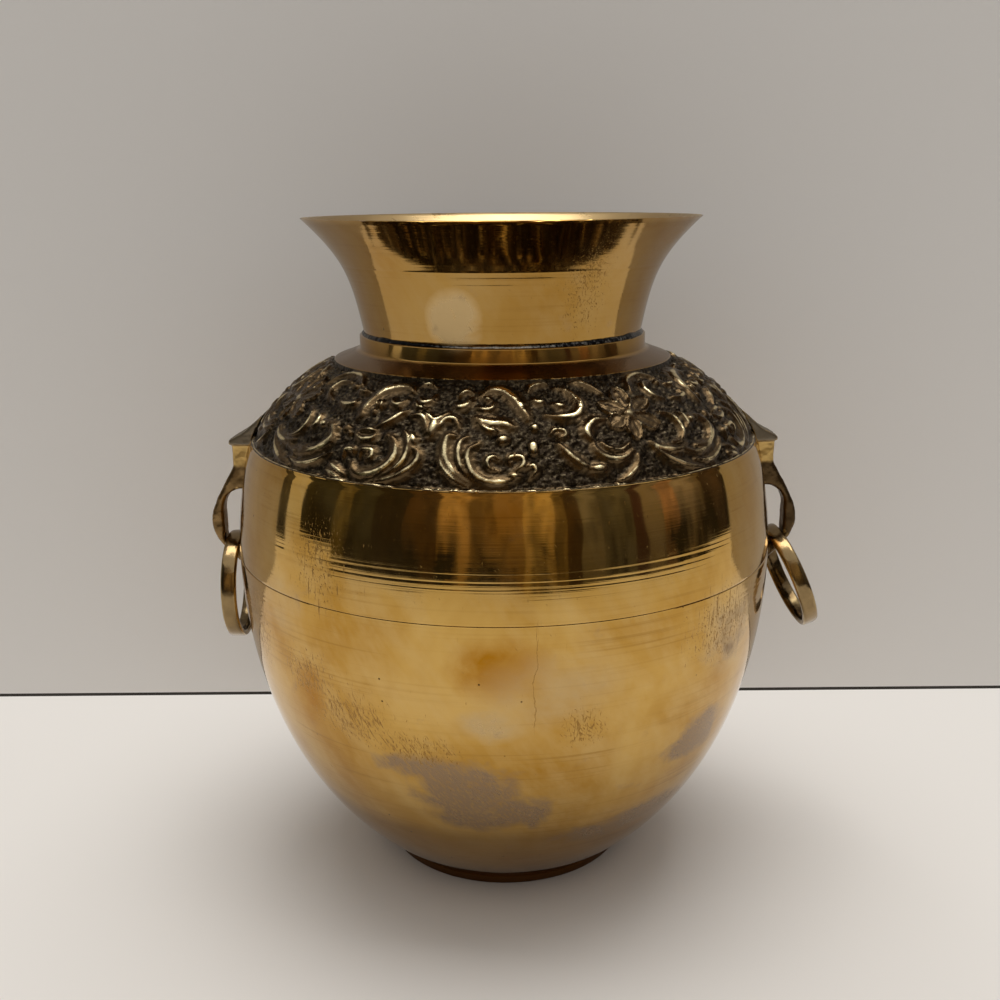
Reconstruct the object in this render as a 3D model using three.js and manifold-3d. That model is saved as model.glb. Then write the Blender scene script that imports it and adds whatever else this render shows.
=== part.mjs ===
// A cast and turned brass pot: two bowl castings brazed at the belly, a flared neck soldered on the collar,
// a low foot disc, and a loose flat-band ring hanging in a cast lug at each side.
// Millimetres, +Z up. The origin is on the pot's axis, in the flat face it stands on. The front looks along -Y.

import * as THREE from "three";
import { mergeVertices } from "three/addons/utils/BufferGeometryUtils.js";
import Module from "manifold-3d";

// Facets
const LATHE_SEGMENTS = 64;
const RING_SEGMENTS = 40;
const LOWER_STEPS = 13;
const BELLY_STEPS = 5;
const SHOULDER_STEPS = 5;
const NECK_STEPS = 9;
const LUG_CURVE_STEPS = 4;

// Foot disc
const FOOT_RADIUS = 29;
const FOOT_HEIGHT = 2.1;
const FOOT_CHAMFER = 0.4;

// Lower bowl, from the foot disc up to the belly seam
const WALL = 1.8;
const LOWER_BOWL_HEIGHT = 74;
const SEAM_RADIUS = 61.7;
const FOOT_FLARE_DEGREES = 53.5;
const FOOT_FLARE_REACH = 34;
const LOWER_BELLY_REACH = 20.5;

// Lap joint at the belly seam
const LAP_HEIGHT = 2.5;
const LAP_CLEARANCE = 0.15;

// Upper bowl: plain belly, embossed shoulder, plain ring, collar
const BELLY_RISE = 25.2;
const BAND_EDGE_SETBACK = 4.1;
const UPPER_BELLY_REACH = 4;
const BAND_EDGE_REACH = 8;
const BAND_EDGE_DEGREES = 22.8;
const SHOULDER_RISE = 17.9;
const BAND_TOP_RADIUS = 38.2;
const SHOULDER_BULGE = 2.5;
const PLAIN_RING_RISE = 2.2;
const COLLAR_RADIUS = 32.4;
const COLLAR_HEIGHT = 3.1;
const COLLAR_WALL = 1.8;

// Embossed relief of the shoulder: its crests lie in the shoulder's outline and its ground is sunk below it
const RELIEF_DEPTH = 0.8;
const RELIEF_BORDER = 0.03;
const CREST_SHARE = 0.4;
const SCROLL_END_SHARE = 0.45;
const KNOB_SIDES = 8;
const PETAL_WIDTH = 3.2;
const PETAL_START = 1.9;
const PETAL_LENGTH = 6;
const PETAL_DEGREES = [85, 150, 208, 262, 325, 25];

// Each repeat of the relief starts at a flower: where it is, in degrees round from the front, and how far it runs.
// A place in a repeat is in degrees from its flower, drawn for a run of DRAWN_DEGREES, and a share of the way
// from the band's top edge to its low edge.
const REPEATS = [[-65, 96], [31, 88], [119, 88], [207, 88]];
const DRAWN_DEGREES = 96;
const FLOWER_PLACE = [0, 0.43];

// The main scrolls: the width of each at its foot, then the places that it runs through
const SCROLLS = [
  [1.9, [6, 0.22], [8.5, 0.08], [17, 0.05], [21.5, 0.16]],
  [1.9, [2, 0.7], [6, 0.87], [16, 0.95]],
  [2.2, [11, 0.8], [16, 0.85], [21, 0.81], [24.3, 0.71], [23.6, 0.6], [20, 0.55]],
  [2.3, [-7.5, 0.46], [-12, 0.48], [-13.6, 0.59], [-12.4, 0.73], [-8.5, 0.8], [-3.5, 0.76]],
  [2, [-21.2, 0.65], [-17.2, 0.81], [-11, 0.86]],
  [1.9, [-12, 0.06], [-8, 0.08], [-4.2, 0.21]],
  [2.7, [29.5, 0.47], [29.3, 0.34], [31.2, 0.18], [35.5, 0.11], [40, 0.15]],
  [1.9, [35, 0.25], [37, 0.31], [40, 0.25]],
  [2.6, [43, 0.41], [46, 0.42], [48.8, 0.56]],
  [2.6, [49.8, 0.56], [52, 0.43], [55.2, 0.5]],
  [2.3, [38.5, 0.59], [42, 0.7], [41.2, 0.83], [37, 0.92], [33, 0.87]],
  [2, [45.8, 0.66], [46.6, 0.83], [38, 0.96]],
  [2.3, [54.5, 0.58], [52.8, 0.68], [54.4, 0.83], [58.5, 0.94]],
  [2.2, [60, 0.64], [57.9, 0.74], [60.3, 0.89], [64, 0.93], [67.4, 0.89]],
  [2.5, [59, 0.2], [62.5, 0.11], [66.5, 0.15], [69.4, 0.29], [70.9, 0.44]],
  [2.5, [58.6, 0.39], [62, 0.45], [67.2, 0.5]],
  [2.3, [75.4, 0.39], [80, 0.42], [83.9, 0.35], [83.9, 0.21], [79.5, 0.1]],
];

// The main knobs: radius and place
const KNOBS = [
  [1.7, FLOWER_PLACE],
  [1.5, [65, 0.61]],
  [1.5, [71.4, 0.67]],
  [1.4, [27.5, 0.58]],
];

// Neck, with the spigot that enters the collar
const NECK_HEIGHT = 25.5;
const NECK_SETBACK = 1.1;
const RIM_RADIUS = 44.4;
const NECK_WALL = 1.4;
const RIM_THICKNESS = 0.7;
const NECK_LEAN_DEGREES = 11.4;
const RIM_FLARE_DEGREES = 46.3;
const NECK_REACH = 13;
const RIM_REACH = 13;
const SPIGOT_DEPTH = 2.5;
const SPIGOT_CLEARANCE = 0.15;
const SPIGOT_WALL = 1.2;

// Solder bead round the foot of the neck
const SOLDER_HEIGHT = 0.8;
const SOLDER_CLEARANCE = 0.1;
const SOLDER_SETBACK = 0.2;

// Ring handles, a flat band bent into a hoop
const RING_DIAMETER = 25.6;
const RING_WIDTH = 3.5;
const RING_THICKNESS = 1.5;
const RING_CHAMFER = 0.35;
const RING_CLEARANCE = 0.45;
const RING_ABOVE_SEAM = 0.3;
const RIGHT_RING_TILT_DEGREES = 22;
const RIGHT_RING_TURN_DEGREES = 5;

// Lugs: a top plate lying on the shoulder edge, a block under it, and an arm that bows round the eye
const LUG_GAP = 0.3;
const LUG_WIDTH = 5;
const LUG_BEVEL = 0.5;
const ARM_THICKNESS = 2.4;
const ARM_FOOT_THICKNESS = 1.9;
const ARM_FOOT_DROP = 6.9;
const EYE_CROWN = 5;
const EYE_BELOW_BLOCK = 10.4;
const BLOCK_OVERHANG = 1.5;
const BLOCK_HEIGHT = 5.4;
const PLATE_BELOW_BAND_EDGE = 2.3;
const PLATE_OVERHANG = 2;
const PLATE_TIP_THICKNESS = 1;
const PLATE_HUMP = 3.2;
const PLATE_HUMP_SETBACK = 2;
const PLATE_RISE = 9.7;
const PLATE_REACH = 9.5;
const PLATE_NOSE = 3;
const PLATE_TIP_WIDTH = 6;
const PLATE_ROOT_WIDTH = 10;

// Heights and radii that follow from the sizes above
const SEAM_HEIGHT = FOOT_HEIGHT + LOWER_BOWL_HEIGHT;
const BAND_EDGE_HEIGHT = SEAM_HEIGHT + BELLY_RISE;
const BAND_TOP_HEIGHT = BAND_EDGE_HEIGHT + SHOULDER_RISE;
const COLLAR_FOOT_HEIGHT = BAND_TOP_HEIGHT + PLAIN_RING_RISE;
const COLLAR_TOP_HEIGHT = COLLAR_FOOT_HEIGHT + COLLAR_HEIGHT;
const RIM_HEIGHT = COLLAR_TOP_HEIGHT + NECK_HEIGHT;
const BAND_EDGE_RADIUS = SEAM_RADIUS - BAND_EDGE_SETBACK;
const COLLAR_BORE_RADIUS = COLLAR_RADIUS - COLLAR_WALL;
const NECK_RADIUS = COLLAR_RADIUS - NECK_SETBACK;
const LAP_RADIUS = SEAM_RADIUS - WALL / 2;
const PLATE_UNDER_HEIGHT = BAND_EDGE_HEIGHT - PLATE_BELOW_BAND_EDGE;
const BLOCK_FOOT_HEIGHT = PLATE_UNDER_HEIGHT - BLOCK_HEIGHT;
const EYE_TOP_HEIGHT = BLOCK_FOOT_HEIGHT - EYE_BELOW_BLOCK;

// The eye is as wide as the circle that the ring's band sweeps as it swings, and the ring turns about its middle
const RING_SWEEP_RADIUS = Math.max(
  Math.hypot(RING_WIDTH / 2, RING_THICKNESS / 2 - RING_CHAMFER),
  Math.hypot(RING_WIDTH / 2 - RING_CHAMFER, RING_THICKNESS / 2),
);
const EYE_RADIUS = RING_SWEEP_RADIUS + RING_CLEARANCE;
const PIVOT_RADIUS = SEAM_RADIUS + EYE_RADIUS;
const PIVOT_HEIGHT = SEAM_HEIGHT + RING_ABOVE_SEAM;
const EYE_EDGE_RADIUS = PIVOT_RADIUS + EYE_RADIUS;

const polishedBrass = new THREE.MeshStandardMaterial({ color: 0xc79a45, roughness: 0.2, metalness: 1 });
const bowlBrass = new THREE.MeshStandardMaterial({ color: 0xb88a3c, roughness: 0.25, metalness: 1 });
const darkBrass = new THREE.MeshStandardMaterial({ color: 0x5e4a2a, roughness: 0.45, metalness: 1 });
const footBrass = new THREE.MeshStandardMaterial({ color: 0x3f2a17, roughness: 0.55, metalness: 1 });
const greySolder = new THREE.MeshStandardMaterial({ color: 0x8c8b86, roughness: 0.4, metalness: 1 });

const wasm = await Module();
wasm.setup();

function point(radius, height) {
  return new THREE.Vector2(radius, height);
}

function leaning(degreesFromVertical, length) {
  const angle = THREE.MathUtils.degToRad(degreesFromVertical);
  return point(length * Math.sin(angle), length * Math.cos(angle));
}

function cubic(start, startHandle, endHandle, end, steps) {
  return new THREE.CubicBezierCurve(start, startHandle, endHandle, end).getPoints(steps);
}

// Moves an outline to its left side (towards the axis for one that climbs), by a depth that may change along it
function offset(outline, depthAt) {
  return outline.map((here, index) => {
    const before = outline[Math.max(index - 1, 0)];
    const after = outline[Math.min(index + 1, outline.length - 1)];
    const along = after.clone().sub(before).normalize();
    const depth = depthAt(index / (outline.length - 1));
    return point(here.x - along.y * depth, here.y + along.x * depth);
  });
}

function turned(outline, segments = LATHE_SEGMENTS) {
  return new THREE.LatheGeometry(outline, segments).rotateX(Math.PI / 2);
}

function closed(outline) {
  return [...outline, outline[0].clone()];
}

function lowerBowlOutline() {
  const start = point(FOOT_RADIUS, FOOT_HEIGHT);
  const end = point(SEAM_RADIUS, SEAM_HEIGHT);
  const startHandle = start.clone().add(leaning(FOOT_FLARE_DEGREES, FOOT_FLARE_REACH));
  const endHandle = end.clone().sub(leaning(0, LOWER_BELLY_REACH));
  return cubic(start, startHandle, endHandle, end, LOWER_STEPS);
}

function upperBellyOutline() {
  const start = point(SEAM_RADIUS, SEAM_HEIGHT);
  const end = point(BAND_EDGE_RADIUS, BAND_EDGE_HEIGHT);
  const startHandle = start.clone().add(leaning(0, UPPER_BELLY_REACH));
  const endHandle = end.clone().sub(leaning(-BAND_EDGE_DEGREES, BAND_EDGE_REACH));
  return cubic(start, startHandle, endHandle, end, BELLY_STEPS);
}

function shoulderCurve() {
  const start = point(BAND_EDGE_RADIUS, BAND_EDGE_HEIGHT);
  const end = point(BAND_TOP_RADIUS, BAND_TOP_HEIGHT);
  const along = end.clone().sub(start).normalize();
  const outward = point(along.y, -along.x).multiplyScalar(2 * SHOULDER_BULGE);
  const handle = start.clone().add(end).multiplyScalar(0.5).add(outward);
  return new THREE.QuadraticBezierCurve(start, handle, end);
}

function shoulderOutline() {
  return shoulderCurve().getPoints(SHOULDER_STEPS);
}

// The shoulder between its two edges, sunk to the ground of the relief
function shoulderGround() {
  const curve = shoulderCurve();
  const ground = [];
  for (let step = 0; step <= SHOULDER_STEPS; step += 1) {
    const share = THREE.MathUtils.lerp(RELIEF_BORDER, 1 - RELIEF_BORDER, step / SHOULDER_STEPS);
    const along = curve.getTangent(share);
    ground.push(curve.getPoint(share).sub(point(along.y, -along.x).multiplyScalar(RELIEF_DEPTH)));
  }
  return [curve.getPoint(0), ...ground, curve.getPoint(1)];
}

function footDisc() {
  return turned([
    point(0, 0),
    point(FOOT_RADIUS - FOOT_CHAMFER, 0),
    point(FOOT_RADIUS, FOOT_CHAMFER),
    point(FOOT_RADIUS, FOOT_HEIGHT),
    point(0, FOOT_HEIGHT),
  ]);
}

function lowerBowl() {
  const outer = lowerBowlOutline();
  const floor = FOOT_HEIGHT + WALL;
  const inner = offset(outer, () => WALL).filter((each) => each.y > floor + WALL / 2).reverse();
  const spigotRadius = LAP_RADIUS - LAP_CLEARANCE;
  const spigotTop = SEAM_HEIGHT + LAP_HEIGHT - LAP_CLEARANCE;
  return turned([
    point(0, FOOT_HEIGHT),
    ...outer,
    point(spigotRadius, SEAM_HEIGHT),
    point(spigotRadius, spigotTop),
    point(SEAM_RADIUS - WALL, spigotTop),
    ...inner,
    point(inner.at(-1).x - WALL, floor),
    point(0, floor),
  ]);
}

function upperBowl() {
  const outer = [...upperBellyOutline(), ...shoulderOutline().slice(1)];
  const wall = offset(outer, () => WALL);
  const inner = wall.filter((each) => each.y > SEAM_HEIGHT + LAP_HEIGHT).reverse();
  return turned(closed([
    point(LAP_RADIUS, SEAM_HEIGHT),
    ...upperBellyOutline(),
    ...shoulderGround().slice(1),
    point(COLLAR_RADIUS, COLLAR_FOOT_HEIGHT),
    point(COLLAR_RADIUS, COLLAR_TOP_HEIGHT),
    point(COLLAR_BORE_RADIUS, COLLAR_TOP_HEIGHT),
    point(COLLAR_BORE_RADIUS, COLLAR_FOOT_HEIGHT - WALL),
    ...inner,
    point(SEAM_RADIUS - WALL, SEAM_HEIGHT + LAP_HEIGHT),
    point(LAP_RADIUS, SEAM_HEIGHT + LAP_HEIGHT),
  ]));
}

function neckOutline() {
  const start = point(NECK_RADIUS, COLLAR_TOP_HEIGHT);
  const end = point(RIM_RADIUS, RIM_HEIGHT);
  const startHandle = start.clone().add(leaning(NECK_LEAN_DEGREES, NECK_REACH));
  const endHandle = end.clone().sub(leaning(RIM_FLARE_DEGREES, RIM_REACH));
  return cubic(start, startHandle, endHandle, end, NECK_STEPS);
}

function neck() {
  const outer = neckOutline();
  const inner = offset(outer, (share) => THREE.MathUtils.lerp(NECK_WALL, RIM_THICKNESS, share));
  const lip = point(inner.at(-1).x, RIM_HEIGHT);
  const spigotOuter = COLLAR_BORE_RADIUS - SPIGOT_CLEARANCE;
  const spigotInner = spigotOuter - SPIGOT_WALL;
  const spigotFoot = COLLAR_TOP_HEIGHT - SPIGOT_DEPTH;
  return turned(closed([
    point(spigotInner, spigotFoot),
    point(spigotOuter, spigotFoot),
    point(spigotOuter, COLLAR_TOP_HEIGHT),
    ...outer,
    lip,
    ...inner.slice(1, -1).reverse(),
    point(spigotInner, COLLAR_TOP_HEIGHT),
  ]));
}

function solderBead() {
  const lean = SOLDER_HEIGHT * Math.tan(THREE.MathUtils.degToRad(NECK_LEAN_DEGREES));
  const inner = NECK_RADIUS + SOLDER_CLEARANCE;
  return turned(closed([
    point(inner, COLLAR_TOP_HEIGHT),
    point(COLLAR_RADIUS - SOLDER_SETBACK, COLLAR_TOP_HEIGHT),
    point(inner + lean + SOLDER_CLEARANCE, COLLAR_TOP_HEIGHT + SOLDER_HEIGHT),
    point(inner + lean, COLLAR_TOP_HEIGHT + SOLDER_HEIGHT),
  ]));
}

function toSolid(geometry) {
  const bare = geometry.clone();
  bare.deleteAttribute("normal");
  bare.deleteAttribute("uv");
  const merged = mergeVertices(bare, 1e-4);
  const corners = merged.getIndex().array;
  const kept = [];
  for (let at = 0; at < corners.length; at += 3) {
    const [a, b, c] = corners.slice(at, at + 3);
    if (a !== b && b !== c && c !== a) {
      kept.push(a, b, c);
    }
  }
  return new wasm.Manifold(new wasm.Mesh({
    numProp: 3,
    vertProperties: new Float32Array(merged.getAttribute("position").array),
    triVerts: new Uint32Array(kept),
  }));
}

function toGeometry(solid) {
  const mesh = solid.getMesh();
  const geometry = new THREE.BufferGeometry();
  geometry.setAttribute("position", new THREE.BufferAttribute(new Float32Array(mesh.vertProperties), 3));
  geometry.setIndex(new THREE.BufferAttribute(new Uint32Array(mesh.triVerts), 1));
  geometry.computeVertexNormals();
  return geometry;
}

// A place on the shoulder's outline, and the way out of the wall there
function onShoulder(degrees, share) {
  const curve = shoulderCurve();
  const place = curve.getPoint(1 - share);
  const along = curve.getTangent(1 - share);
  const angle = THREE.MathUtils.degToRad(degrees);
  const around = (radius, height) => new THREE.Vector3(radius * Math.sin(angle), -radius * Math.cos(angle), height);
  return { spot: around(place.x, place.y), out: around(along.y, -along.x) };
}

// A ridge through places on the shoulder, with a flat crest, sides that run on into the wall, and narrow ends
function ridge(width, places) {
  const sunk = (RELIEF_DEPTH + WALL) / 2;
  const spread = 1 - CREST_SHARE;
  const frames = places.map(([degrees, share]) => onShoulder(degrees, share));
  const positions = [];
  frames.forEach(({ spot, out }, index) => {
    const before = frames[Math.max(index - 1, 0)].spot;
    const after = frames[Math.min(index + 1, frames.length - 1)].spot;
    const side = out.clone().cross(after.clone().sub(before)).normalize();
    const atEnd = index === 0 || index === frames.length - 1;
    const half = width / 2 * (atEnd ? SCROLL_END_SHARE : 1);
    const crest = half * CREST_SHARE;
    const foot = crest + half * spread * sunk / RELIEF_DEPTH;
    for (const [across, depth] of [[-foot, sunk], [-crest, 0], [crest, 0], [foot, sunk]]) {
      positions.push(...spot.clone().addScaledVector(side, across).addScaledVector(out, -depth).toArray());
    }
  });
  const corners = [0, 1, 2, 0, 2, 3];
  for (let start = 0; start < 4 * (frames.length - 1); start += 4) {
    for (let at = 0; at < 4; at += 1) {
      const next = (at + 1) % 4;
      corners.push(start + at, start + 4 + at, start + next, start + next, start + 4 + at, start + 4 + next);
    }
  }
  const last = 4 * (frames.length - 1);
  corners.push(last, last + 2, last + 1, last, last + 3, last + 2);
  const geometry = new THREE.BufferGeometry();
  geometry.setAttribute("position", new THREE.Float32BufferAttribute(positions, 3));
  geometry.setIndex(corners);
  return toSolid(geometry);
}

// A low knob whose foot runs on into the wall
function knob(radius, [degrees, share]) {
  const { spot, out } = onShoulder(degrees, share);
  const sunk = (RELIEF_DEPTH + WALL) / 2;
  const outline = [
    point(0, -sunk),
    point(radius, -sunk),
    point(radius, -RELIEF_DEPTH / 2),
    point(radius * (1 - CREST_SHARE), 0),
    point(0, 0),
  ];
  const upright = new THREE.Quaternion().setFromUnitVectors(new THREE.Vector3(0, 1, 0), out);
  const geometry = new THREE.LatheGeometry(outline, KNOB_SIDES).applyQuaternion(upright);
  return toSolid(geometry.translate(...spot.toArray()));
}

// The petal that points one way, drawn with up as 90 degrees, as places from the flower's middle to its tip
function petalPlaces(towards) {
  const curve = shoulderCurve();
  const middleRadius = curve.getPoint(1 - FLOWER_PLACE[1]).x;
  const angle = THREE.MathUtils.degToRad(towards);
  return [PETAL_START, (PETAL_START + PETAL_LENGTH) / 2, PETAL_LENGTH].map((reach) => [
    FLOWER_PLACE[0] + THREE.MathUtils.radToDeg(reach * Math.cos(angle) / middleRadius),
    FLOWER_PLACE[1] - reach * Math.sin(angle) / curve.getLength(),
  ]);
}

function relief() {
  const raised = [];
  for (const [start, run] of REPEATS) {
    const drawnAt = ([degrees, share]) => [start + degrees * run / DRAWN_DEGREES, share];
    for (const [width, ...places] of SCROLLS) {
      raised.push(ridge(width, places.map(drawnAt)));
    }
    for (const [radius, place] of KNOBS) {
      raised.push(knob(radius, drawnAt(place)));
    }
    for (const towards of PETAL_DEGREES) {
      raised.push(ridge(PETAL_WIDTH, petalPlaces(towards).map(drawnAt)));
    }
  }
  return raised;
}

function embossed(bowl) {
  return toGeometry(relief().reduce((solid, each) => solid.add(each), toSolid(bowl)));
}

// The room that the bowl takes up, grown by the gap that a lug keeps to it
function bowlRoom() {
  const outer = [...lowerBowlOutline(), ...upperBellyOutline().slice(1), ...shoulderOutline().slice(1)];
  const grown = offset(outer, () => -LUG_GAP);
  return toSolid(turned([point(0, grown[0].y), ...grown, point(0, grown.at(-1).y)]));
}

// Extrudes a side view, drawn with x outward and y up, to a width that is centred on the lug's middle plane
function sideways(shape, width, bevel) {
  const geometry = new THREE.ExtrudeGeometry(shape, {
    depth: width - 2 * bevel,
    steps: 1,
    curveSegments: LUG_CURVE_STEPS,
    bevelEnabled: bevel > 0,
    bevelThickness: bevel,
    bevelSize: bevel,
    bevelOffset: -bevel,
    bevelSegments: 1,
  });
  geometry.translate(0, 0, bevel - width / 2);
  geometry.rotateX(Math.PI / 2);
  return toSolid(geometry);
}

// Side view of the block and of the arm, which bows round the eye and comes back to the belly below it
function armShape() {
  const insideWall = SEAM_RADIUS - PLATE_REACH;
  const blockEdge = SEAM_RADIUS + BLOCK_OVERHANG;
  const shape = new THREE.Shape();
  shape.moveTo(insideWall, PIVOT_HEIGHT - ARM_FOOT_DROP);
  shape.lineTo(SEAM_RADIUS + LUG_GAP, PIVOT_HEIGHT - ARM_FOOT_DROP);
  shape.splineThru([
    point(EYE_EDGE_RADIUS + ARM_FOOT_THICKNESS, PIVOT_HEIGHT),
    point(EYE_EDGE_RADIUS + ARM_THICKNESS, EYE_TOP_HEIGHT),
    point(blockEdge, BLOCK_FOOT_HEIGHT),
  ]);
  shape.lineTo(blockEdge, PLATE_UNDER_HEIGHT + PLATE_TIP_THICKNESS / 2);
  shape.lineTo(insideWall, PLATE_UNDER_HEIGHT + PLATE_TIP_THICKNESS / 2);
  shape.lineTo(insideWall, EYE_TOP_HEIGHT + EYE_CROWN);
  shape.lineTo(SEAM_RADIUS, EYE_TOP_HEIGHT + EYE_CROWN);
  shape.absellipse(SEAM_RADIUS, EYE_TOP_HEIGHT, 2 * EYE_RADIUS, EYE_CROWN, Math.PI / 2, 0, true);
  shape.absarc(PIVOT_RADIUS, PIVOT_HEIGHT, EYE_RADIUS, 0, -Math.PI / 2, true);
  shape.lineTo(insideWall, PIVOT_HEIGHT - EYE_RADIUS);
  shape.closePath();
  return shape;
}

// Side view of the plate, from its tip over the block, past a hump, to its root on the embossed shoulder
function plateShape() {
  const tip = SEAM_RADIUS + PLATE_OVERHANG;
  const root = SEAM_RADIUS - PLATE_REACH;
  return new THREE.Shape([
    point(root - PLATE_NOSE, PLATE_UNDER_HEIGHT),
    point(tip, PLATE_UNDER_HEIGHT),
    point(tip, PLATE_UNDER_HEIGHT + PLATE_TIP_THICKNESS),
    point(SEAM_RADIUS - PLATE_HUMP_SETBACK, PLATE_UNDER_HEIGHT + PLATE_HUMP),
    point(root, PLATE_UNDER_HEIGHT + PLATE_RISE),
    point(root - PLATE_NOSE, PLATE_UNDER_HEIGHT + PLATE_RISE),
  ]);
}

// Plan view of the plate, a shield with its point on the shoulder
function plateOutline() {
  const tip = SEAM_RADIUS + PLATE_OVERHANG;
  const root = SEAM_RADIUS - PLATE_REACH;
  return new THREE.Shape([
    point(tip, -PLATE_TIP_WIDTH / 2),
    point(tip, PLATE_TIP_WIDTH / 2),
    point(root, PLATE_ROOT_WIDTH / 2),
    point(root - PLATE_NOSE, 0),
    point(root, -PLATE_ROOT_WIDTH / 2),
  ]);
}

function lug(room) {
  const prism = new THREE.ExtrudeGeometry(plateOutline(), {
    depth: RIM_HEIGHT,
    steps: 1,
    curveSegments: LUG_CURVE_STEPS,
    bevelEnabled: false,
  });
  const plate = sideways(plateShape(), PLATE_ROOT_WIDTH, 0).intersect(toSolid(prism));
  return toGeometry(sideways(armShape(), LUG_WIDTH, LUG_BEVEL).add(plate).subtract(room));
}

// A hoop whose axis is X, hanging below the middle of its own band at the origin
function ring() {
  const outer = RING_DIAMETER / 2;
  const inner = outer - RING_THICKNESS;
  const half = RING_WIDTH / 2;
  const hoop = new THREE.LatheGeometry(closed([
    point(inner + RING_CHAMFER, -half),
    point(outer - RING_CHAMFER, -half),
    point(outer, RING_CHAMFER - half),
    point(outer, half - RING_CHAMFER),
    point(outer - RING_CHAMFER, half),
    point(inner + RING_CHAMFER, half),
    point(inner, half - RING_CHAMFER),
    point(inner, RING_CHAMFER - half),
  ]), RING_SEGMENTS);
  return hoop.rotateZ(-Math.PI / 2).translate(0, 0, RING_THICKNESS / 2 - outer);
}

function part(name, geometry, material) {
  const mesh = new THREE.Mesh(geometry, material);
  mesh.name = name;
  return mesh;
}

// A group turned to face one side of the pot, so that what is in it is drawn with x outward
function facing(side) {
  const group = new THREE.Group();
  group.rotation.z = side === "right" ? 0 : Math.PI;
  return group;
}

function ringHung(side, tiltDegrees, turnDegrees) {
  const hanger = new THREE.Group();
  hanger.position.set(PIVOT_RADIUS, 0, PIVOT_HEIGHT);
  hanger.rotation.order = "ZYX";
  hanger.rotation.y = -THREE.MathUtils.degToRad(tiltDegrees);
  hanger.rotation.z = THREE.MathUtils.degToRad(turnDegrees);
  hanger.add(part(`ring_${side}`, ring(), polishedBrass));
  return hanger;
}

const pot = new THREE.Group();
pot.add(part("foot_disc", footDisc(), footBrass));
pot.add(part("lower_bowl", lowerBowl(), bowlBrass));
pot.add(part("upper_bowl", embossed(upperBowl()), bowlBrass));
pot.add(part("neck", neck(), polishedBrass));
pot.add(part("neck_solder", solderBead(), greySolder));

const room = bowlRoom();
for (const side of ["left", "right"]) {
  const tilt = side === "right" ? RIGHT_RING_TILT_DEGREES : 0;
  const turn = side === "right" ? RIGHT_RING_TURN_DEGREES : 0;
  const flank = facing(side);
  flank.add(part(`lug_${side}`, lug(room), darkBrass));
  flank.add(ringHung(side, tilt, turn));
  pot.add(flank);
}

export default pot;
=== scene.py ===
import math
import bpy
import numpy as np
from mathutils import Matrix, Vector, noise


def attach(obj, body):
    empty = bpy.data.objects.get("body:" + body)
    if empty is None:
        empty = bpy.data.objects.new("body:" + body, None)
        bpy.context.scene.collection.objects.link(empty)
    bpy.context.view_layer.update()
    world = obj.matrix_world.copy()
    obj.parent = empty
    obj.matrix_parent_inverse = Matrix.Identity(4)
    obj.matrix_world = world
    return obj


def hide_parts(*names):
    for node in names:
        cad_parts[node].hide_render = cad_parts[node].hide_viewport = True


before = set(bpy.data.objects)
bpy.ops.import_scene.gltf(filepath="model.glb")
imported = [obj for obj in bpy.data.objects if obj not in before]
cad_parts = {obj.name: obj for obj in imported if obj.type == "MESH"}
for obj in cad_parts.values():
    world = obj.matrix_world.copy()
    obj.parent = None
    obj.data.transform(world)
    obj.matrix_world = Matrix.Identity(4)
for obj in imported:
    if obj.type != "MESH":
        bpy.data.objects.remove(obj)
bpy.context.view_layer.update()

MM = 0.001
CHANCE = np.random.default_rng(7)

# Bowl and neck sizes, in millimetres, the same as the solids have
FOOT_RADIUS = 29
FOOT_HEIGHT = 2.1
WALL = 1.8
SEAM_RADIUS = 61.7
SEAM_HEIGHT = 76.1
FOOT_FLARE_DEGREES = 53.5
FOOT_FLARE_REACH = 34
LOWER_BELLY_REACH = 20.5
BAND_EDGE_RADIUS = 57.6
BAND_EDGE_HEIGHT = 101.3
UPPER_BELLY_REACH = 4
BAND_EDGE_REACH = 8
BAND_EDGE_DEGREES = 22.8
BAND_TOP_RADIUS = 38.2
BAND_TOP_HEIGHT = 119.2
SHOULDER_BULGE = 2.5
COLLAR_RADIUS = 32.4
COLLAR_WALL = 1.8
COLLAR_FOOT_HEIGHT = 121.4
COLLAR_TOP_HEIGHT = 124.5
NECK_RADIUS = 31.3
NECK_WALL = 1.4
NECK_LEAN_DEGREES = 11.4
NECK_REACH = 13
RIM_RADIUS = 44.4
RIM_HEIGHT = 150
RIM_THICKNESS = 0.7
RIM_FLARE_DEGREES = 46.3
RIM_REACH = 13
SPIGOT_DEPTH = 2.5
SPIGOT_WALL = 1.2
SPIGOT_PLAY = 0.15
SEAM_GROOVE = 0.16
JOINT_GAP = 0.02

# Ring handles
RING_DIAMETER = 25.6
RING_WIDTH = 3.5
RING_THICKNESS = 1.5
PIVOT_RADIUS = 63.9451
PIVOT_HEIGHT = 76.4
RIGHT_RING_TILT_DEGREES = 22
RIGHT_RING_TURN_DEGREES = 5

# Fineness of the skins: points round each, rows down the band, and the grid of a lug in millimetres
AROUND = 240
BAND_AROUND = 960
BAND_ROWS = 88
SOLDER_AROUND = 480
RING_AROUND = 180
LUG_GRID = 0.28

# Fine grooves that the lathe tool left: height and depth
BELLY_GROOVES = [(83.4, .005), (84.6, .009), (86.1, .012), (86.9, .005)]
LOWER_GROOVES = [(73.6, .01), (72.5, .014), (69.4, .012), (68.6, .01), (66.2, .008)]
NECK_GROOVES = [(139.8, .028), (138.6, .012), (137.1, .024), (136.2, .012), (134.6, .018), (131.2, .01)]
GROOVE_HALF_WIDTH = 0.14

# Nicks sink into the rim where noise, with so many waves to a millimetre, is above a level
NICKS_PER_MM = 0.9
NICK_LEVEL = 0.28
NICK_SLOPE = 0.5

# How far down the inside of the lip a painted highlight of the overhead light makes it paler and rougher,
# and how strong it is there
LIP_DEPTH = 8
LIP_HIGHLIGHT = 1.7

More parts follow.
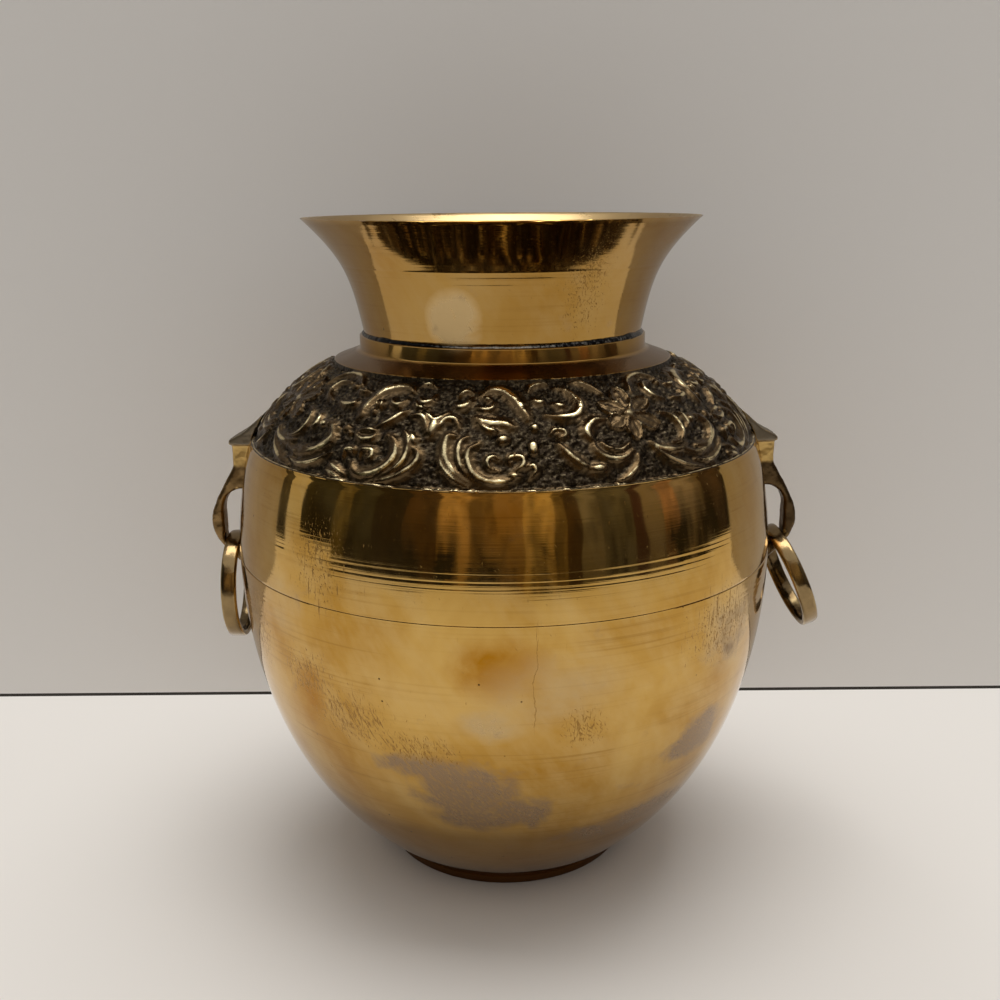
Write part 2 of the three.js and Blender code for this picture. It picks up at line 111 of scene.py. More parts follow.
# Marks of age on the brass: degrees round from the front, height, half width, half height and strength
MARKS = {
    "tarnish": [
        (-9, 38.5, 10, 7, 1), (-19, 43.5, 8, 3, .9), (3, 32, 7, 4.5, .9), (-8, 30, 9, 3.5, .8),
        (46, 43.5, 7.5, 5, 1), (39, 41.5, 4, 3, .8), (38, 24, 11, 3.5, .9), (20, 22.5, 7, 3, .7),
        (51, 66, 7, 7, .5), (118, 56, 10, 6, .9), (150, 31, 12, 6, 1), (176, 64, 7, 5, .7),
        (-158, 44, 9, 7, .9), (-118, 27, 11, 5, 1), (-96, 60, 6, 7, .7),
    ],
    "scuffs": [
        (-37, 84, 7, 9, .7), (-42, 60, 8, 6, .9), (-31, 53, 10, 6, 1), (-18, 48, 9, 4, .95),
        (15, 53.5, 5, 4.5, .95), (46, 69, 11, 8, .9), (-60, 66, 7, 9, .7), (30, 136, 5, 9, .8),
        (62, 146, 6, 4, 1), (100, 78, 10, 8, .8), (140, 84, 9, 7, .8), (-170, 78, 12, 9, .9),
        (-125, 88, 8, 6, .8), (165, 136, 8, 8, .7), (-100, 134, 6, 7, .7),
    ],
    "smudges_and_lip_highlight": [
        (-17.5, 130, 5, 5.5, 1.7), (8, 62, 16, 9, .7), (-48, 74, 8, 8, .6), (50, 67, 9, 10, 1),
        (-3, 55, 7, 4, .9), (130, 70, 14, 9, .8), (-140, 62, 12, 9, .8),
    ],
    "warm": [
        (-42, 56.5, 4, 6, 1), (-1, 67, 9, 6, 1.1), (-46, 50, 6, 5, .5), (110, 40, 8, 6, .8),
        (-150, 82, 9, 5, .7),
    ],
}

# Heights between which painted shade darkens the brass: near the foot the pot's shadow on the table, as the
# low belly mirrors it, and on the plain ring, the collar and the neck the darker things that they mirror.
# Columns: low, high, over how much below the high one it fades, and
#  strength. Above the low one it sets in at so much a millimetre.
PAINTED_SHADE_BANDS = [
    (-1, 10, 8, .9), (-1, 27, 4, .48), (119.15, 121.3, .3, 1), (121.3, 124.4, .3, .8),
    (124.4, 149.6, .3, .5),
]
PAINTED_SHADE_EDGE = 9

# Camera, placed as the photograph was taken
LENS_MM = 41.4
SENSOR_MM = 36
CAMERA_DISTANCE_MM = 263.9
CAMERA_HEIGHT_MM = 155.1
CAMERA_PITCH_DEGREES = 14.99
CAMERA_ROLL_DEGREES = -0.469
CAMERA_SHIFT = -0.0037


def put(name, data):
    """Puts a new object in the scene."""
    item = bpy.data.objects.new(name, data)
    bpy.context.scene.collection.objects.link(item)
    return item


def place_camera():
    data = bpy.data.cameras.new("camera")
    data.lens = LENS_MM
    data.sensor_width = SENSOR_MM
    data.shift_x = CAMERA_SHIFT
    data.clip_start = 0.01
    data.clip_end = 20
    camera = put("camera", data)
    tilt = Matrix.Rotation(math.radians(90 - CAMERA_PITCH_DEGREES), 4, "X")
    roll = Matrix.Rotation(math.radians(CAMERA_ROLL_DEGREES), 4, "Z")
    spot = Matrix.Translation((0, -CAMERA_DISTANCE_MM * MM, CAMERA_HEIGHT_MM * MM))
    camera.matrix_world = spot @ tilt @ roll
    bpy.context.scene.camera = camera


place_camera()


# Outlines, as arrays of radius and height in millimetres
FOOT = np.array([FOOT_RADIUS, FOOT_HEIGHT])
SEAM = np.array([SEAM_RADIUS, SEAM_HEIGHT])
BAND_EDGE = np.array([BAND_EDGE_RADIUS, BAND_EDGE_HEIGHT])
BAND_TOP = np.array([BAND_TOP_RADIUS, BAND_TOP_HEIGHT])
NECK_FOOT = np.array([NECK_RADIUS, COLLAR_TOP_HEIGHT])
RIM = np.array([RIM_RADIUS, RIM_HEIGHT])


def leaning(degrees_from_vertical, length):
    angle = math.radians(degrees_from_vertical)
    return np.array([math.sin(angle), math.cos(angle)]) * length


def cubic(start, start_handle, end_handle, end, steps):
    t = np.linspace(0, 1, steps + 1)[:, None]
    u = 1 - t
    return u**3 * start + 3 * u**2 * t * start_handle + 3 * u * t**2 * end_handle + t**3 * end


def lower_bowl_outline(steps):
    flare = FOOT + leaning(FOOT_FLARE_DEGREES, FOOT_FLARE_REACH)
    return cubic(FOOT, flare, SEAM - leaning(0, LOWER_BELLY_REACH), SEAM, steps)


def upper_belly_outline(steps):
    handle = BAND_EDGE - leaning(-BAND_EDGE_DEGREES, BAND_EDGE_REACH)
    return cubic(SEAM, SEAM + leaning(0, UPPER_BELLY_REACH), handle, BAND_EDGE, steps)


def shoulder_outline(steps):
    along = (BAND_TOP - BAND_EDGE) / np.linalg.norm(BAND_TOP - BAND_EDGE)
    handle = (BAND_EDGE + BAND_TOP) / 2 + np.array([along[1], -along[0]]) * 2 * SHOULDER_BULGE
    t = np.linspace(0, 1, steps + 1)[:, None]
    return (1 - t) ** 2 * BAND_EDGE + 2 * (1 - t) * t * handle + t**2 * BAND_TOP


def neck_outline(steps):
    lean = NECK_FOOT + leaning(NECK_LEAN_DEGREES, NECK_REACH)
    return cubic(NECK_FOOT, lean, RIM - leaning(RIM_FLARE_DEGREES, RIM_REACH), RIM, steps)


def normals(outline):
    along = np.gradient(outline, axis=0)
    along /= np.linalg.norm(along, axis=1)[:, None]
    return np.stack([along[:, 1], -along[:, 0]], axis=1)


def sunk(outline, depth):
    depth = np.broadcast_to(depth, (len(outline),))
    return outline - normals(outline) * depth[:, None]


def grooved(outline, grooves):
    """The outline with a shallow groove cut into it at each of the heights."""
    kept = []
    for radius, height in outline:
        if all(abs(height - level) > 2 * GROOVE_HALF_WIDTH for level, _ in grooves):
            kept.append((radius, height))
    cut = []
    for height, depth in grooves:
        for side in (-1, 0, 1):
            level = height + side * GROOVE_HALF_WIDTH
            radius = np.interp(level, outline[:, 1], outline[:, 0])
            cut.append((radius - depth * (side == 0), level))
    return np.array(sorted(kept + cut, key=lambda p: p[1]))


# Meshes made of rows of points round the pot's axis


def row(radius, height, count):
    """Points of one row; radius and height may be one number or one number a point."""
    angle = np.arange(count) * 2 * math.pi / count - math.pi / 2
    radius = np.broadcast_to(radius, (count,))
    height = np.broadcast_to(height, (count,))
    return np.stack([radius * np.cos(angle), radius * np.sin(angle), height], axis=1)


def strip(low, high, low_start, high_start):
    """Faces between two rows, where one row may have a whole number of times as many points."""
    faces = []
    if low <= high:
        each = high // low
        for i in range(low):
            j = (i + 1) % low
            upper = [high_start + (i * each + k) % high for k in range(each, -1, -1)]
            faces.append([low_start + i, low_start + j, *upper])
    else:
        each = low // high
        for i in range(high):
            j = (i + 1) % high
            lower = [low_start + (i * each + k) % low for k in range(each + 1)]
            faces.append([*lower, high_start + j, high_start + i])
    return faces


def skin(name, rows, closes, sharp_degrees=35):
    """A mesh through the rows; closes joins the last row to the first, otherwise both ends are capped."""
    starts = np.cumsum([0] + [len(r) for r in rows])
    faces = []
    for k in range(len(rows) - 1):
        faces += strip(len(rows[k]), len(rows[k + 1]), int(starts[k]), int(starts[k + 1]))
    if closes:
        faces += strip(len(rows[-1]), len(rows[0]), int(starts[-2]), 0)
    else:
        faces.append(list(range(len(rows[0])))[::-1])
        faces.append(list(range(int(starts[-2]), int(starts[-1]))))
    mesh = bpy.data.meshes.new(name)
    mesh.from_pydata(np.concatenate(rows) * MM, [], faces)
    mesh.shade_smooth()
    mesh.set_sharp_from_angle(angle=math.radians(sharp_degrees))
    mesh.update()
    return put(name, mesh)


def rows_of(outline, count=AROUND):
    return [row(radius, height, count) for radius, height in outline]


def noise_round(angles, fineness, level):
    """Smooth noise at angles round a circle, without a join."""
    return np.array([noise.noise((math.cos(a) * fineness, math.sin(a) * fineness, level)) for a in angles])


# The chased scrolls of the shoulder band. A place on it is in degrees from the flower that a repeat starts
# with, and a share of the band's depth, from its top edge to its low edge. A stroke is a crest on a wider,
# lower body. A ragged burr runs along the low edge.
BAND_DEPTH = 26.6
BAND_GROUND = 0.8
SCROLL_RISE = 0.95
SCROLL_FULLNESS = 1.5
BODY_SHARE = 0.5
BODY_SPREAD = 1.75
END_TAPER = 0.55
CREST_ROUNDNESS = 0.75
BODY_ROUNDNESS = 0.6
FLOWER = (0, .43)
PETAL_FLOOR = 0.38
PETAL_EDGE = 0.42
PETAL_RIB = 0.14
RIDGE_UNEVENNESS = 0.02
GROUND_UNEVENNESS = 0.08
DENT_DEPTH = 0.1
BURR_RISE = 0.28
BURR_WIDTH = 0.28
BURR_PLACE = 0.35
REPEATS = [(-65, 96), (31, 88), (119, 88), (207, 88)]
REPEAT_DEGREES = 96

# Scrolls: width of the stroke in the middle and its points
SCROLLS = [
    # C-scroll right of the flower, with its inner curl
    (1.0, [(6, .22), (7.5, .11), (11, .05), (15.5, .04), (19, .08), (21.5, .15)]),
    (0.9, [(16.5, .14), (13, .15), (11.5, .22), (12.8, .31), (16, .35)]),
    (0.9, [(19, .35), (22, .37), (25, .35), (24.5, .3)]),
    (0.8, [(22, .2), (24.5, .22), (26.5, .2)]),
    # arcs and leaves that spring from the flower
    (0.8, [(9.5, .46), (12.5, .5), (13.8, .58), (13.5, .67), (11.5, .73), (8.5, .74)]),
    (1.1, [(2, .7), (4.5, .77), (9, .8), (13, .77)]),
    (1.1, [(2, .73), (5, .84), (10, .93), (15, .97)]),
    (1.2, [(10.5, .8), (15, .85), (20, .82), (23.5, .74), (24.5, .65), (22.5, .57), (19.5, .55)]),
    (0.8, [(13, .9), (18, .93), (23, .88), (26.5, .8)]),
    (0.8, [(-2.5, .78), (-3.5, .86), (-6, .93), (-9, .965)]),
    (1.3, [(-7.5, .46), (-10.5, .465), (-13, .52), (-13.6, .58), (-12.5, .65)]),
    (1.2, [(-13, .67), (-12.4, .73), (-10, .79), (-6.5, .8), (-3.5, .75)]),
    (0.8, [(-11, .66), (-9.5, .715), (-6.5, .735), (-3.5, .69)]),
    (1.2, [(-21.2, .65), (-19, .74), (-16.5, .82), (-15, .835)]),
    (1.3, [(-15.3, .855), (-13, .86), (-11, .85)]),
    (1.0, [(-12, .045), (-9, .06), (-6.5, .12), (-4.2, .21)]),
    # leaves and a low scroll between the flower and the great scroll
    (1.0, [(15.5, .8), (19, .81), (22.5, .78), (25, .72), (25.8, .66)]),
    (0.9, [(15.5, .5), (17, .53), (17.2, .6), (16, .64)]),
    (0.8, [(27, .87), (29.5, .91), (32, .95)]),
    (0.8, [(26.5, .93), (29, .95), (31.5, .985)]),
    (0.8, [(30.2, .83), (30.2, .76), (32, .75), (32.5, .78)]),
    # the great scroll, thick at its foot
    (1.7, [(29.5, .46), (29.2, .38), (30.2, .25), (32, .16), (35, .115), (38, .11), (40, .15)]),
    (0.7, [(31.8, .28), (32.3, .36)]),
    (0.7, [(33.2, .28), (33.6, .36)]),
    (1.0, [(35.2, .25), (36.5, .3), (38.5, .31), (39.9, .25)]),
    (1.0, [(42.8, .21), (44.5, .27), (46.3, .25), (46.8, .18)]),
    (0.7, [(42.3, .26), (44, .32), (47, .33)]),
    (0.7, [(41.5, .08), (43.5, .06), (46, .09)]),
    # the tulip and its leaves
    (1.7, [(49.2, .57), (49.3, .48), (49, .42)]),
    (0.9, [(45.5, .36), (47.5, .4), (49.2, .44), (51, .4), (52.4, .355)]),
    (1.1, [(43, .41), (45.3, .4), (47, .45), (48.3, .56)]),
    (1.1, [(50.3, .52), (51.6, .43), (53.8, .42), (55.2, .5)]),
    (0.9, [(35.5, .54), (38, .48), (40, .41), (41.8, .365)]),
    # left fan
    (1.0, [(30.5, .61), (33, .655), (35.6, .64), (36.4, .6)]),
    (0.9, [(31.5, .585), (34, .57), (36, .575)]),
    (0.9, [(34.2, .8), (34.2, .745), (36.6, .735), (37.1, .785), (35.8, .815)]),
    (1.3, [
        (39, .6), (41.2, .64), (42.3, .72), (41.8, .81), (39.5, .89), (36, .925), (33.6, .9), (32.8, .85),
    ]),
    (1.0, [(42.7, .55), (44.3, .61), (44.9, .71), (44.2, .81), (42, .89), (39, .95)]),
    (1.0, [(44.8, .57), (46.2, .66)]),
    (1.1, [(45.6, .68), (47.4, .73), (47, .81), (44.6, .89), (41, .95), (37.5, .975)]),
    # right fan
    (1.3, [(54.8, .575), (53.1, .58), (52.8, .67), (53.5, .77), (55.5, .87), (58.5, .94)]),
    (1.0, [(52.2, .73), (52.7, .81), (55, .9), (58.5, .97)]),
    (1.0, [(57.4, .58), (56, .63), (55.8, .72), (56.8, .83), (59.3, .92)]),
    (1.2, [(60, .635), (58.1, .68), (57.8, .76), (59, .86), (61.7, .92), (65, .925), (67.2, .9)]),
    # heart curls between the fans
    (0.8, [(64.2, .85), (62.4, .83), (61.8, .77), (63, .74), (64.5, .77)]),
    (0.8, [(66.5, .8), (66, .76), (67.2, .735), (68.8, .75), (69, .8), (67.6, .84), (66.8, .87)]),
    (0.9, [(66.2, .88), (68, .885)]),
    (0.8, [(69.2, .83), (70.7, .81), (71.3, .85), (70, .91)]),
    # the hooked scroll with its crescents and its leaf
    (1.5, [(59, .19), (61, .12), (64, .105), (66.5, .15), (68.8, .25), (70.2, .36), (70.9, .43)]),
    (1.1, [(58.6, .3), (60.5, .325), (62.2, .31), (63, .25)]),
    (0.8, [(60.5, .2), (61.8, .23)]),
    (1.1, [(53.2, .27), (54.5, .3), (56.2, .265), (57, .2)]),
    (0.9, [(53.5, .18), (55, .13), (57, .14)]),
    (1.7, [(58.7, .4), (60.4, .44), (63, .455), (65.5, .465), (67.2, .5)]),
    (0.8, [(59.5, .45), (61.5, .51), (64, .53)]),
    # the round scroll before the next flower
    (1.3, [
        (75.2, .39), (77.5, .41), (79.5, .41), (82, .4), (83.7, .36), (84.4, .28), (83.5, .19), (81.5, .12),
        (79.5, .1),
    ]),
    (1.1, [(77.7, .28), (79, .3), (80.3, .3)]),
    (1.0, [(73, .22), (73.8, .255), (75.6, .25)]),
    (0.8, [(71.8, .14), (73, .08), (75.5, .05), (78, .05)]),
    (0.8, [(75.2, .57), (76.3, .53), (78.2, .54), (78.6, .58), (77, .605)]),
]

# Knobs and drops: radius along the band, radius down it, rise, and the place
KNOBS = [
    (1.9, 1.9, 0.85, FLOWER), (1.5, 1.4, 0.9, (65, .6)), (1.0, 1.2, 0.9, (72, .5)),
    (1.2, 2.0, 1.0, (71.2, .67)), (1.0, 0.8, 0.8, (73.1, .24)), (1.2, 0.9, 0.8, (19.5, .17)),
    (1.3, 1.0, 0.9, (19.4, .58)), (1.1, 1.0, 0.8, (21.5, .57)), (0.9, 1.0, 0.7, (24.8, .6)),
    (1.3, 1.2, 0.8, (27.5, .58)), (0.8, 0.8, 0.8, (38.8, .33)), (0.9, 0.9, 0.7, (32.5, .4)),
    (0.9, 0.9, 0.6, (77.2, .565)), (0.8, 0.8, 0.6, (35.8, .775)), (0.7, 0.7, 0.6, (29, .62)),
]

# Petals round the flower: the angle that each points to, with up as 90, and its length and width
PETALS = [(85, 7.6, 4.8), (150, 6.6, 4.6), (25, 7.4, 4.6), (208, 6.4, 4.6), (325, 7.4, 4.6), (262, 6.6, 3.8)]


def flowing(points, per_step=8):
    """A smooth run of places through the points."""
    points = np.array(points, dtype=float)
    before = np.vstack([2 * points[0] - points[1], points, 2 * points[-1] - points[-2]])
    t = np.linspace(0, 1, per_step, endpoint=False)[:, None]
    runs = []
    for a, b, c, d in zip(before, before[1:], before[2:], before[3:]):
        runs.append(0.5 * (2 * b + (c - a) * t + (2 * a - 5 * b + 4 * c - d) * t**2
                           + (3 * b - a - 3 * c + d) * t**3))
    return np.vstack([*runs, points[-1:]])


class Band:
    """Heights over the band's ground, on a grid of rows down it and columns round it."""

    def __init__(self):
        self.outline = shoulder_outline(BAND_ROWS - 1)[::-1]
        self.down = np.linspace(0, 1, BAND_ROWS)
        self.round = np.arange(BAND_AROUND) * 360 / BAND_AROUND
        self.height = np.zeros((BAND_ROWS, BAND_AROUND))

    def window(self, degrees, share, reach):
        """The rows and columns within reach of a stroke, with their distances along the band and down it."""
        low, high = min(share) - reach / BAND_DEPTH, max(share) + reach / BAND_DEPTH
        rows = np.nonzero((self.down >= low) & (self.down <= high))[0]
        middle = (min(degrees) + max(degrees)) / 2
        half = (max(degrees) - min(degrees)) / 2 + math.degrees(reach / BAND_TOP_RADIUS)
        off = (self.round - middle + 180) % 360 - 180
        columns = np.nonzero(abs(off) <= half)[0]
        scale = np.radians(self.outline[rows, 0])[:, None]
        return rows, columns, off[columns][None, :] + middle, self.down[rows][:, None], scale

    def raise_to(self, rows, columns, height):
        spot = np.ix_(rows, columns)
        self.height[spot] = np.maximum(self.height[spot], height)

    def stroke(self, places, width, rise):
        """A rounded ridge, drawn out thin at both ends."""
        run = flowing(places)
        width = SCROLL_FULLNESS * width
        reach = width * 1.5
        rows, columns, degrees, share, scale = self.window(run[:, 0], run[:, 1], reach)
        best = np.zeros((len(rows), len(columns)))
        count = len(run) - 1
        for k in range(count):
            start, end = run[k], run[k + 1]
            x = (degrees - start[0]) * scale
            y = (share - start[1]) * BAND_DEPTH
            along_x = (end[0] - start[0]) * scale
            along_y = (end[1] - start[1]) * BAND_DEPTH
            t = np.clip((x * along_x + y * along_y) / (along_x**2 + along_y**2 + 1e-9), 0, 1)
            gap = np.hypot(x - along_x * t, y - along_y * t)
            through = (k + t) / count
            swell = np.sin(math.pi * np.clip(through * 0.94 + 0.03, 0, 1)) ** END_TAPER
            half = width * 0.5 * (0.4 + 0.8 * swell)
            crest = np.clip(1 - (gap / half) ** 2, 0, 1) ** CREST_ROUNDNESS
            body = np.clip(1 - (gap / (half * BODY_SPREAD)) ** 2, 0, 1) ** BODY_ROUNDNESS
            best = np.maximum(best, np.maximum(crest, BODY_SHARE * body) * rise * (0.5 + 0.5 * swell))
        self.raise_to(rows, columns, best)

    def knob(self, place, radius_along, radius_down, rise):
        reach = max(radius_along, radius_down)
        rows, columns, degrees, share, scale = self.window([place[0]], [place[1]], reach)
        x = (degrees - place[0]) * scale / radius_along
        y = (share - place[1]) * BAND_DEPTH / radius_down
        self.raise_to(rows, columns, np.sqrt(np.clip(1 - x**2 - y**2, 0, 1)) * rise)

    def petal(self, place, angle, length, width):
        """A full petal, cupped inside its raised edge, with a rib down its middle."""
        rows, columns, degrees, share, scale = self.window([place[0]], [place[1]], length)
        x = (degrees - place[0]) * scale
        y = -(share - place[1]) * BAND_DEPTH
        a = math.radians(angle)
        out = (x * math.cos(a) + y * math.sin(a)) / length
        side = abs(-x * math.sin(a) + y * math.cos(a)) / (width / 2)
        half = np.sqrt(np.clip(np.sin(math.pi * np.clip(out, 0, 1) ** 1.25), 0, 1))
        inside = np.clip(half - side, 0, 1)
        edge = np.exp(-((inside - 0.2) / 0.13) ** 2)
        rib = np.exp(-((side / 0.12) ** 2))
        height = PETAL_FLOOR + np.maximum(PETAL_EDGE * edge, PETAL_RIB * rib)
        self.raise_to(rows, columns, height * np.clip(inside / 0.12, 0, 1))

    def chase(self):
        for start, degrees in REPEATS:
            stretch = degrees / REPEAT_DEGREES

            def at(place):
                return (start + place[0] * stretch, place[1])

            for angle, length, width in PETALS:
                self.petal(at(FLOWER), angle, length, width)
            for width, places in SCROLLS:
                self.stroke([at(p) for p in places], width, SCROLL_RISE)
            for radius_along, radius_down, rise, place in KNOBS:
                self.knob(at(place), radius_along, radius_down, rise)

    def stipple(self):
        """The dents of a matting punch all over the ground, and a little unevenness on the ridges."""
        dents = CHANCE.normal(size=self.height.shape)
        dents = (dents + np.roll(dents, 1, 1) + np.roll(dents, 1, 0)) / 3**0.5
        slow = CHANCE.normal(size=(BAND_ROWS // 4 + 2, BAND_AROUND // 4))
        slow = np.repeat(np.repeat(slow, 4, 0), 4, 1)[:BAND_ROWS]
        slow = (slow + np.roll(slow, 2, 1) + np.roll(slow, 2, 0)) / 3**0.5
        ground = np.clip(1 - self.height / 0.5, 0, 1)
        dents *= RIDGE_UNEVENNESS + DENT_DEPTH * ground
        return dents + slow * (RIDGE_UNEVENNESS + GROUND_UNEVENNESS * ground)


band = Band()
band.chase()
scrolls = band.height.copy()
band_height = scrolls + band.stipple()


def band_rows():
    """Rows from the low edge of the band up to its top edge, and the height of each point for the patina."""
    edge = np.minimum(band.down, 1 - band.down) * BAND_DEPTH
    ground = BAND_GROUND * np.clip(edge / 0.6, 0, 1)
    lift = band_height * np.clip(edge / 0.9, 0, 1)[:, None] - ground[:, None]
    low_edge = np.exp(-(((1 - band.down) * BAND_DEPTH - BURR_PLACE) / BURR_WIDTH) ** 2)
    ragged = 1 + 0.6 * noise_round(np.radians(band.round), 30, 3)
    lift += BURR_RISE * low_edge[:, None] * ragged[None, :]
    out = normals(band.outline[::-1])[::-1]
    surface = band.outline[:, :, None] + out[:, :, None] * lift[:, None, :]
    return rows_of(surface[::-1], BAND_AROUND), np.maximum(scrolls, low_edge[:, None])[::-1]


def store(mesh, name, values):
    """Keeps one number for each point of a mesh, for its material."""
    attribute = mesh.attributes.new(name, "FLOAT", "POINT")
    attribute.data.foreach_set("value", np.asarray(values, dtype=float))


def stored(mesh, name):
    values = np.zeros(len(mesh.vertices))
    mesh.attributes[name].data.foreach_get("value", values)
    return values


def points_of(piece):
    return np.array([v.co for v in piece.data.vertices]) / MM


def mark(piece):
    """Stores how strongly each kind of mark lies on each point of a turned piece."""
    points = points_of(piece)
    angle = np.degrees(np.arctan2(points[:, 0], -points[:, 1]))
    radius = np.hypot(points[:, 0], points[:, 1])
    for name, places in MARKS.items():
        value = np.zeros(len(points))
        for degrees, height, half_width, half_height, strength in places:
            across = np.radians((angle - degrees + 180) % 360 - 180) * radius / half_width
            up = (points[:, 2] - height) / half_height
            value = np.maximum(value, strength * np.clip(1.5 - np.hypot(across, up), 0, 1))
        store(piece.data, name, value)
    # Painted shade by height: the pot's shadow near the foot, and darker mirrored surroundings on the plain
    # ring, collar and neck
    painted_shade = np.zeros(len(points))
    for low, high, fade, strength in PAINTED_SHADE_BANDS:
        inside = np.minimum((points[:, 2] - low) * PAINTED_SHADE_EDGE, (high - points[:, 2]) / fade)
        painted_shade = np.maximum(painted_shade, strength * np.clip(inside, 0, 1))
    store(piece.data, "painted_shade", painted_shade)


# Pieces


def make_upper_bowl():
    belly = grooved(upper_belly_outline(26), BELLY_GROOVES)
    rows = rows_of([
        (SEAM_RADIUS - SEAM_GROOVE, SEAM_HEIGHT + JOINT_GAP),
        (SEAM_RADIUS - JOINT_GAP, SEAM_HEIGHT + SEAM_GROOVE),
        *belly[1:-1],
        (belly[-1][0] + 0.05, belly[-1][1] - 0.35),
    ])
    start = len(rows) * AROUND
    relief, heights = band_rows()
    rows += relief
    outer = np.vstack([upper_belly_outline(10), shoulder_outline(10)[1:]])
    inner = sunk(outer, WALL)
    inner = inner[(inner[:, 1] > SEAM_HEIGHT) & (inner[:, 0] > COLLAR_RADIUS)][::-1]
    rows += rows_of([
        (BAND_TOP_RADIUS - 0.35, BAND_TOP_HEIGHT + 0.15),
        (BAND_TOP_RADIUS - 2.5, BAND_TOP_HEIGHT + 0.9),
        (COLLAR_RADIUS + 1.2, COLLAR_FOOT_HEIGHT - 0.45),
        (COLLAR_RADIUS + 0.25, COLLAR_FOOT_HEIGHT - 0.05),
        (COLLAR_RADIUS, COLLAR_FOOT_HEIGHT + 0.3),
        (COLLAR_RADIUS, COLLAR_TOP_HEIGHT - 0.25),
        (COLLAR_RADIUS - 0.25, COLLAR_TOP_HEIGHT),
        (COLLAR_RADIUS - COLLAR_WALL, COLLAR_TOP_HEIGHT),
        (COLLAR_RADIUS - COLLAR_WALL, COLLAR_FOOT_HEIGHT - WALL),
        *inner,
        (SEAM_RADIUS - WALL, SEAM_HEIGHT + JOINT_GAP),
    ])
    piece = skin("shoulder_and_belly", rows, True, 50)
    # Nought off the band, and more than nought all over it
    values = np.zeros(len(piece.data.vertices))
    values[start:start + heights.size] = heights.ravel() + 0.001
    store(piece.data, "relief", values)
    mark(piece)
    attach(piece, "pot")
    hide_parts("upper_bowl")
    return piece


def make_lower_bowl():
    outer = lower_bowl_outline(60)
    inner = sunk(outer, WALL)
    inner = inner[inner[:, 1] > FOOT_HEIGHT + WALL * 1.3][::-2]
    outline = [
        (FOOT_RADIUS - 6, FOOT_HEIGHT),
        (FOOT_RADIUS, FOOT_HEIGHT),
        *grooved(outer[1:-1], LOWER_GROOVES),
        (outer[-1][0] - JOINT_GAP, outer[-1][1] - SEAM_GROOVE),
        (SEAM_RADIUS - SEAM_GROOVE, SEAM_HEIGHT - JOINT_GAP),
        (SEAM_RADIUS - WALL, SEAM_HEIGHT - JOINT_GAP),
        *inner,
        (inner[-1][0] - 2, FOOT_HEIGHT + WALL),
    ]
    piece = skin("lower_bowl_skin", rows_of(outline), False)
    mark(piece)
    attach(piece, "pot")
    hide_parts("lower_bowl")
    return piece


def paint_lip_highlight(neck, outer):
    """Paints the inside of the lip paler, a painted highlight of the overhead light, and blurs what it
    mirrors.
    """
    points = points_of(neck)
    wall = np.interp(points[:, 2], outer[:, 1], outer[:, 0])
    inside = (np.hypot(points[:, 0], points[:, 1]) < wall - 0.3) & (points[:, 2] > RIM_HEIGHT - LIP_DEPTH)
    smudges_and_lip_highlight = np.maximum(stored(neck.data, "smudges_and_lip_highlight"), inside * LIP_HIGHLIGHT)
    neck.data.attributes["smudges_and_lip_highlight"].data.foreach_set("value", smudges_and_lip_highlight)


def make_neck():
    outer = neck_outline(48)
    share = np.linspace(0, 1, len(outer))
    inner = sunk(outer, NECK_WALL + (RIM_THICKNESS - NECK_WALL) * share)
    spigot = COLLAR_RADIUS - COLLAR_WALL - SPIGOT_PLAY
    rows = rows_of([
        (spigot - SPIGOT_WALL, COLLAR_TOP_HEIGHT - SPIGOT_DEPTH),
        (spigot, COLLAR_TOP_HEIGHT - SPIGOT_DEPTH),
        (spigot, COLLAR_TOP_HEIGHT + JOINT_GAP),
        (NECK_RADIUS - 0.1, COLLAR_TOP_HEIGHT + 0.05),
        *grooved(outer[1:-1], NECK_GROOVES),
        (outer[-1][0] - 0.02, RIM_HEIGHT - 0.12),
        (outer[-1][0] - 0.16, RIM_HEIGHT),
        (inner[-1][0] + 0.1, RIM_HEIGHT),
        *inner[1:-1][::-1],
        (spigot - SPIGOT_WALL, COLLAR_TOP_HEIGHT),
    ])
    for points in rows:
        for i, point in enumerate(points):
            if point[2] > RIM_HEIGHT - 0.5:
                nick = max(0, noise.noise(Vector(point) * NICKS_PER_MM) - NICK_LEVEL) * NICK_SLOPE
                points[i, 2] -= nick
                points[i, :2] *= 1 - 0.006 * nick
    piece = skin("neck_skin", rows, True, 45)
    mark(piece)
    paint_lip_highlight(piece, outer)
    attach(piece, "pot")
    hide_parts("neck")
    return piece


def make_foot():
    outline = [
        (FOOT_RADIUS - 0.6, 0),
        (FOOT_RADIUS - 0.2, 0.1),
        (FOOT_RADIUS, 0.45),
        (FOOT_RADIUS, FOOT_HEIGHT - 0.35),
        (FOOT_RADIUS - 0.3, FOOT_HEIGHT - JOINT_GAP),
    ]
    piece = skin("foot_skin", rows_of(outline), False)
    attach(piece, "pot")
    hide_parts("foot_disc")
    return piece


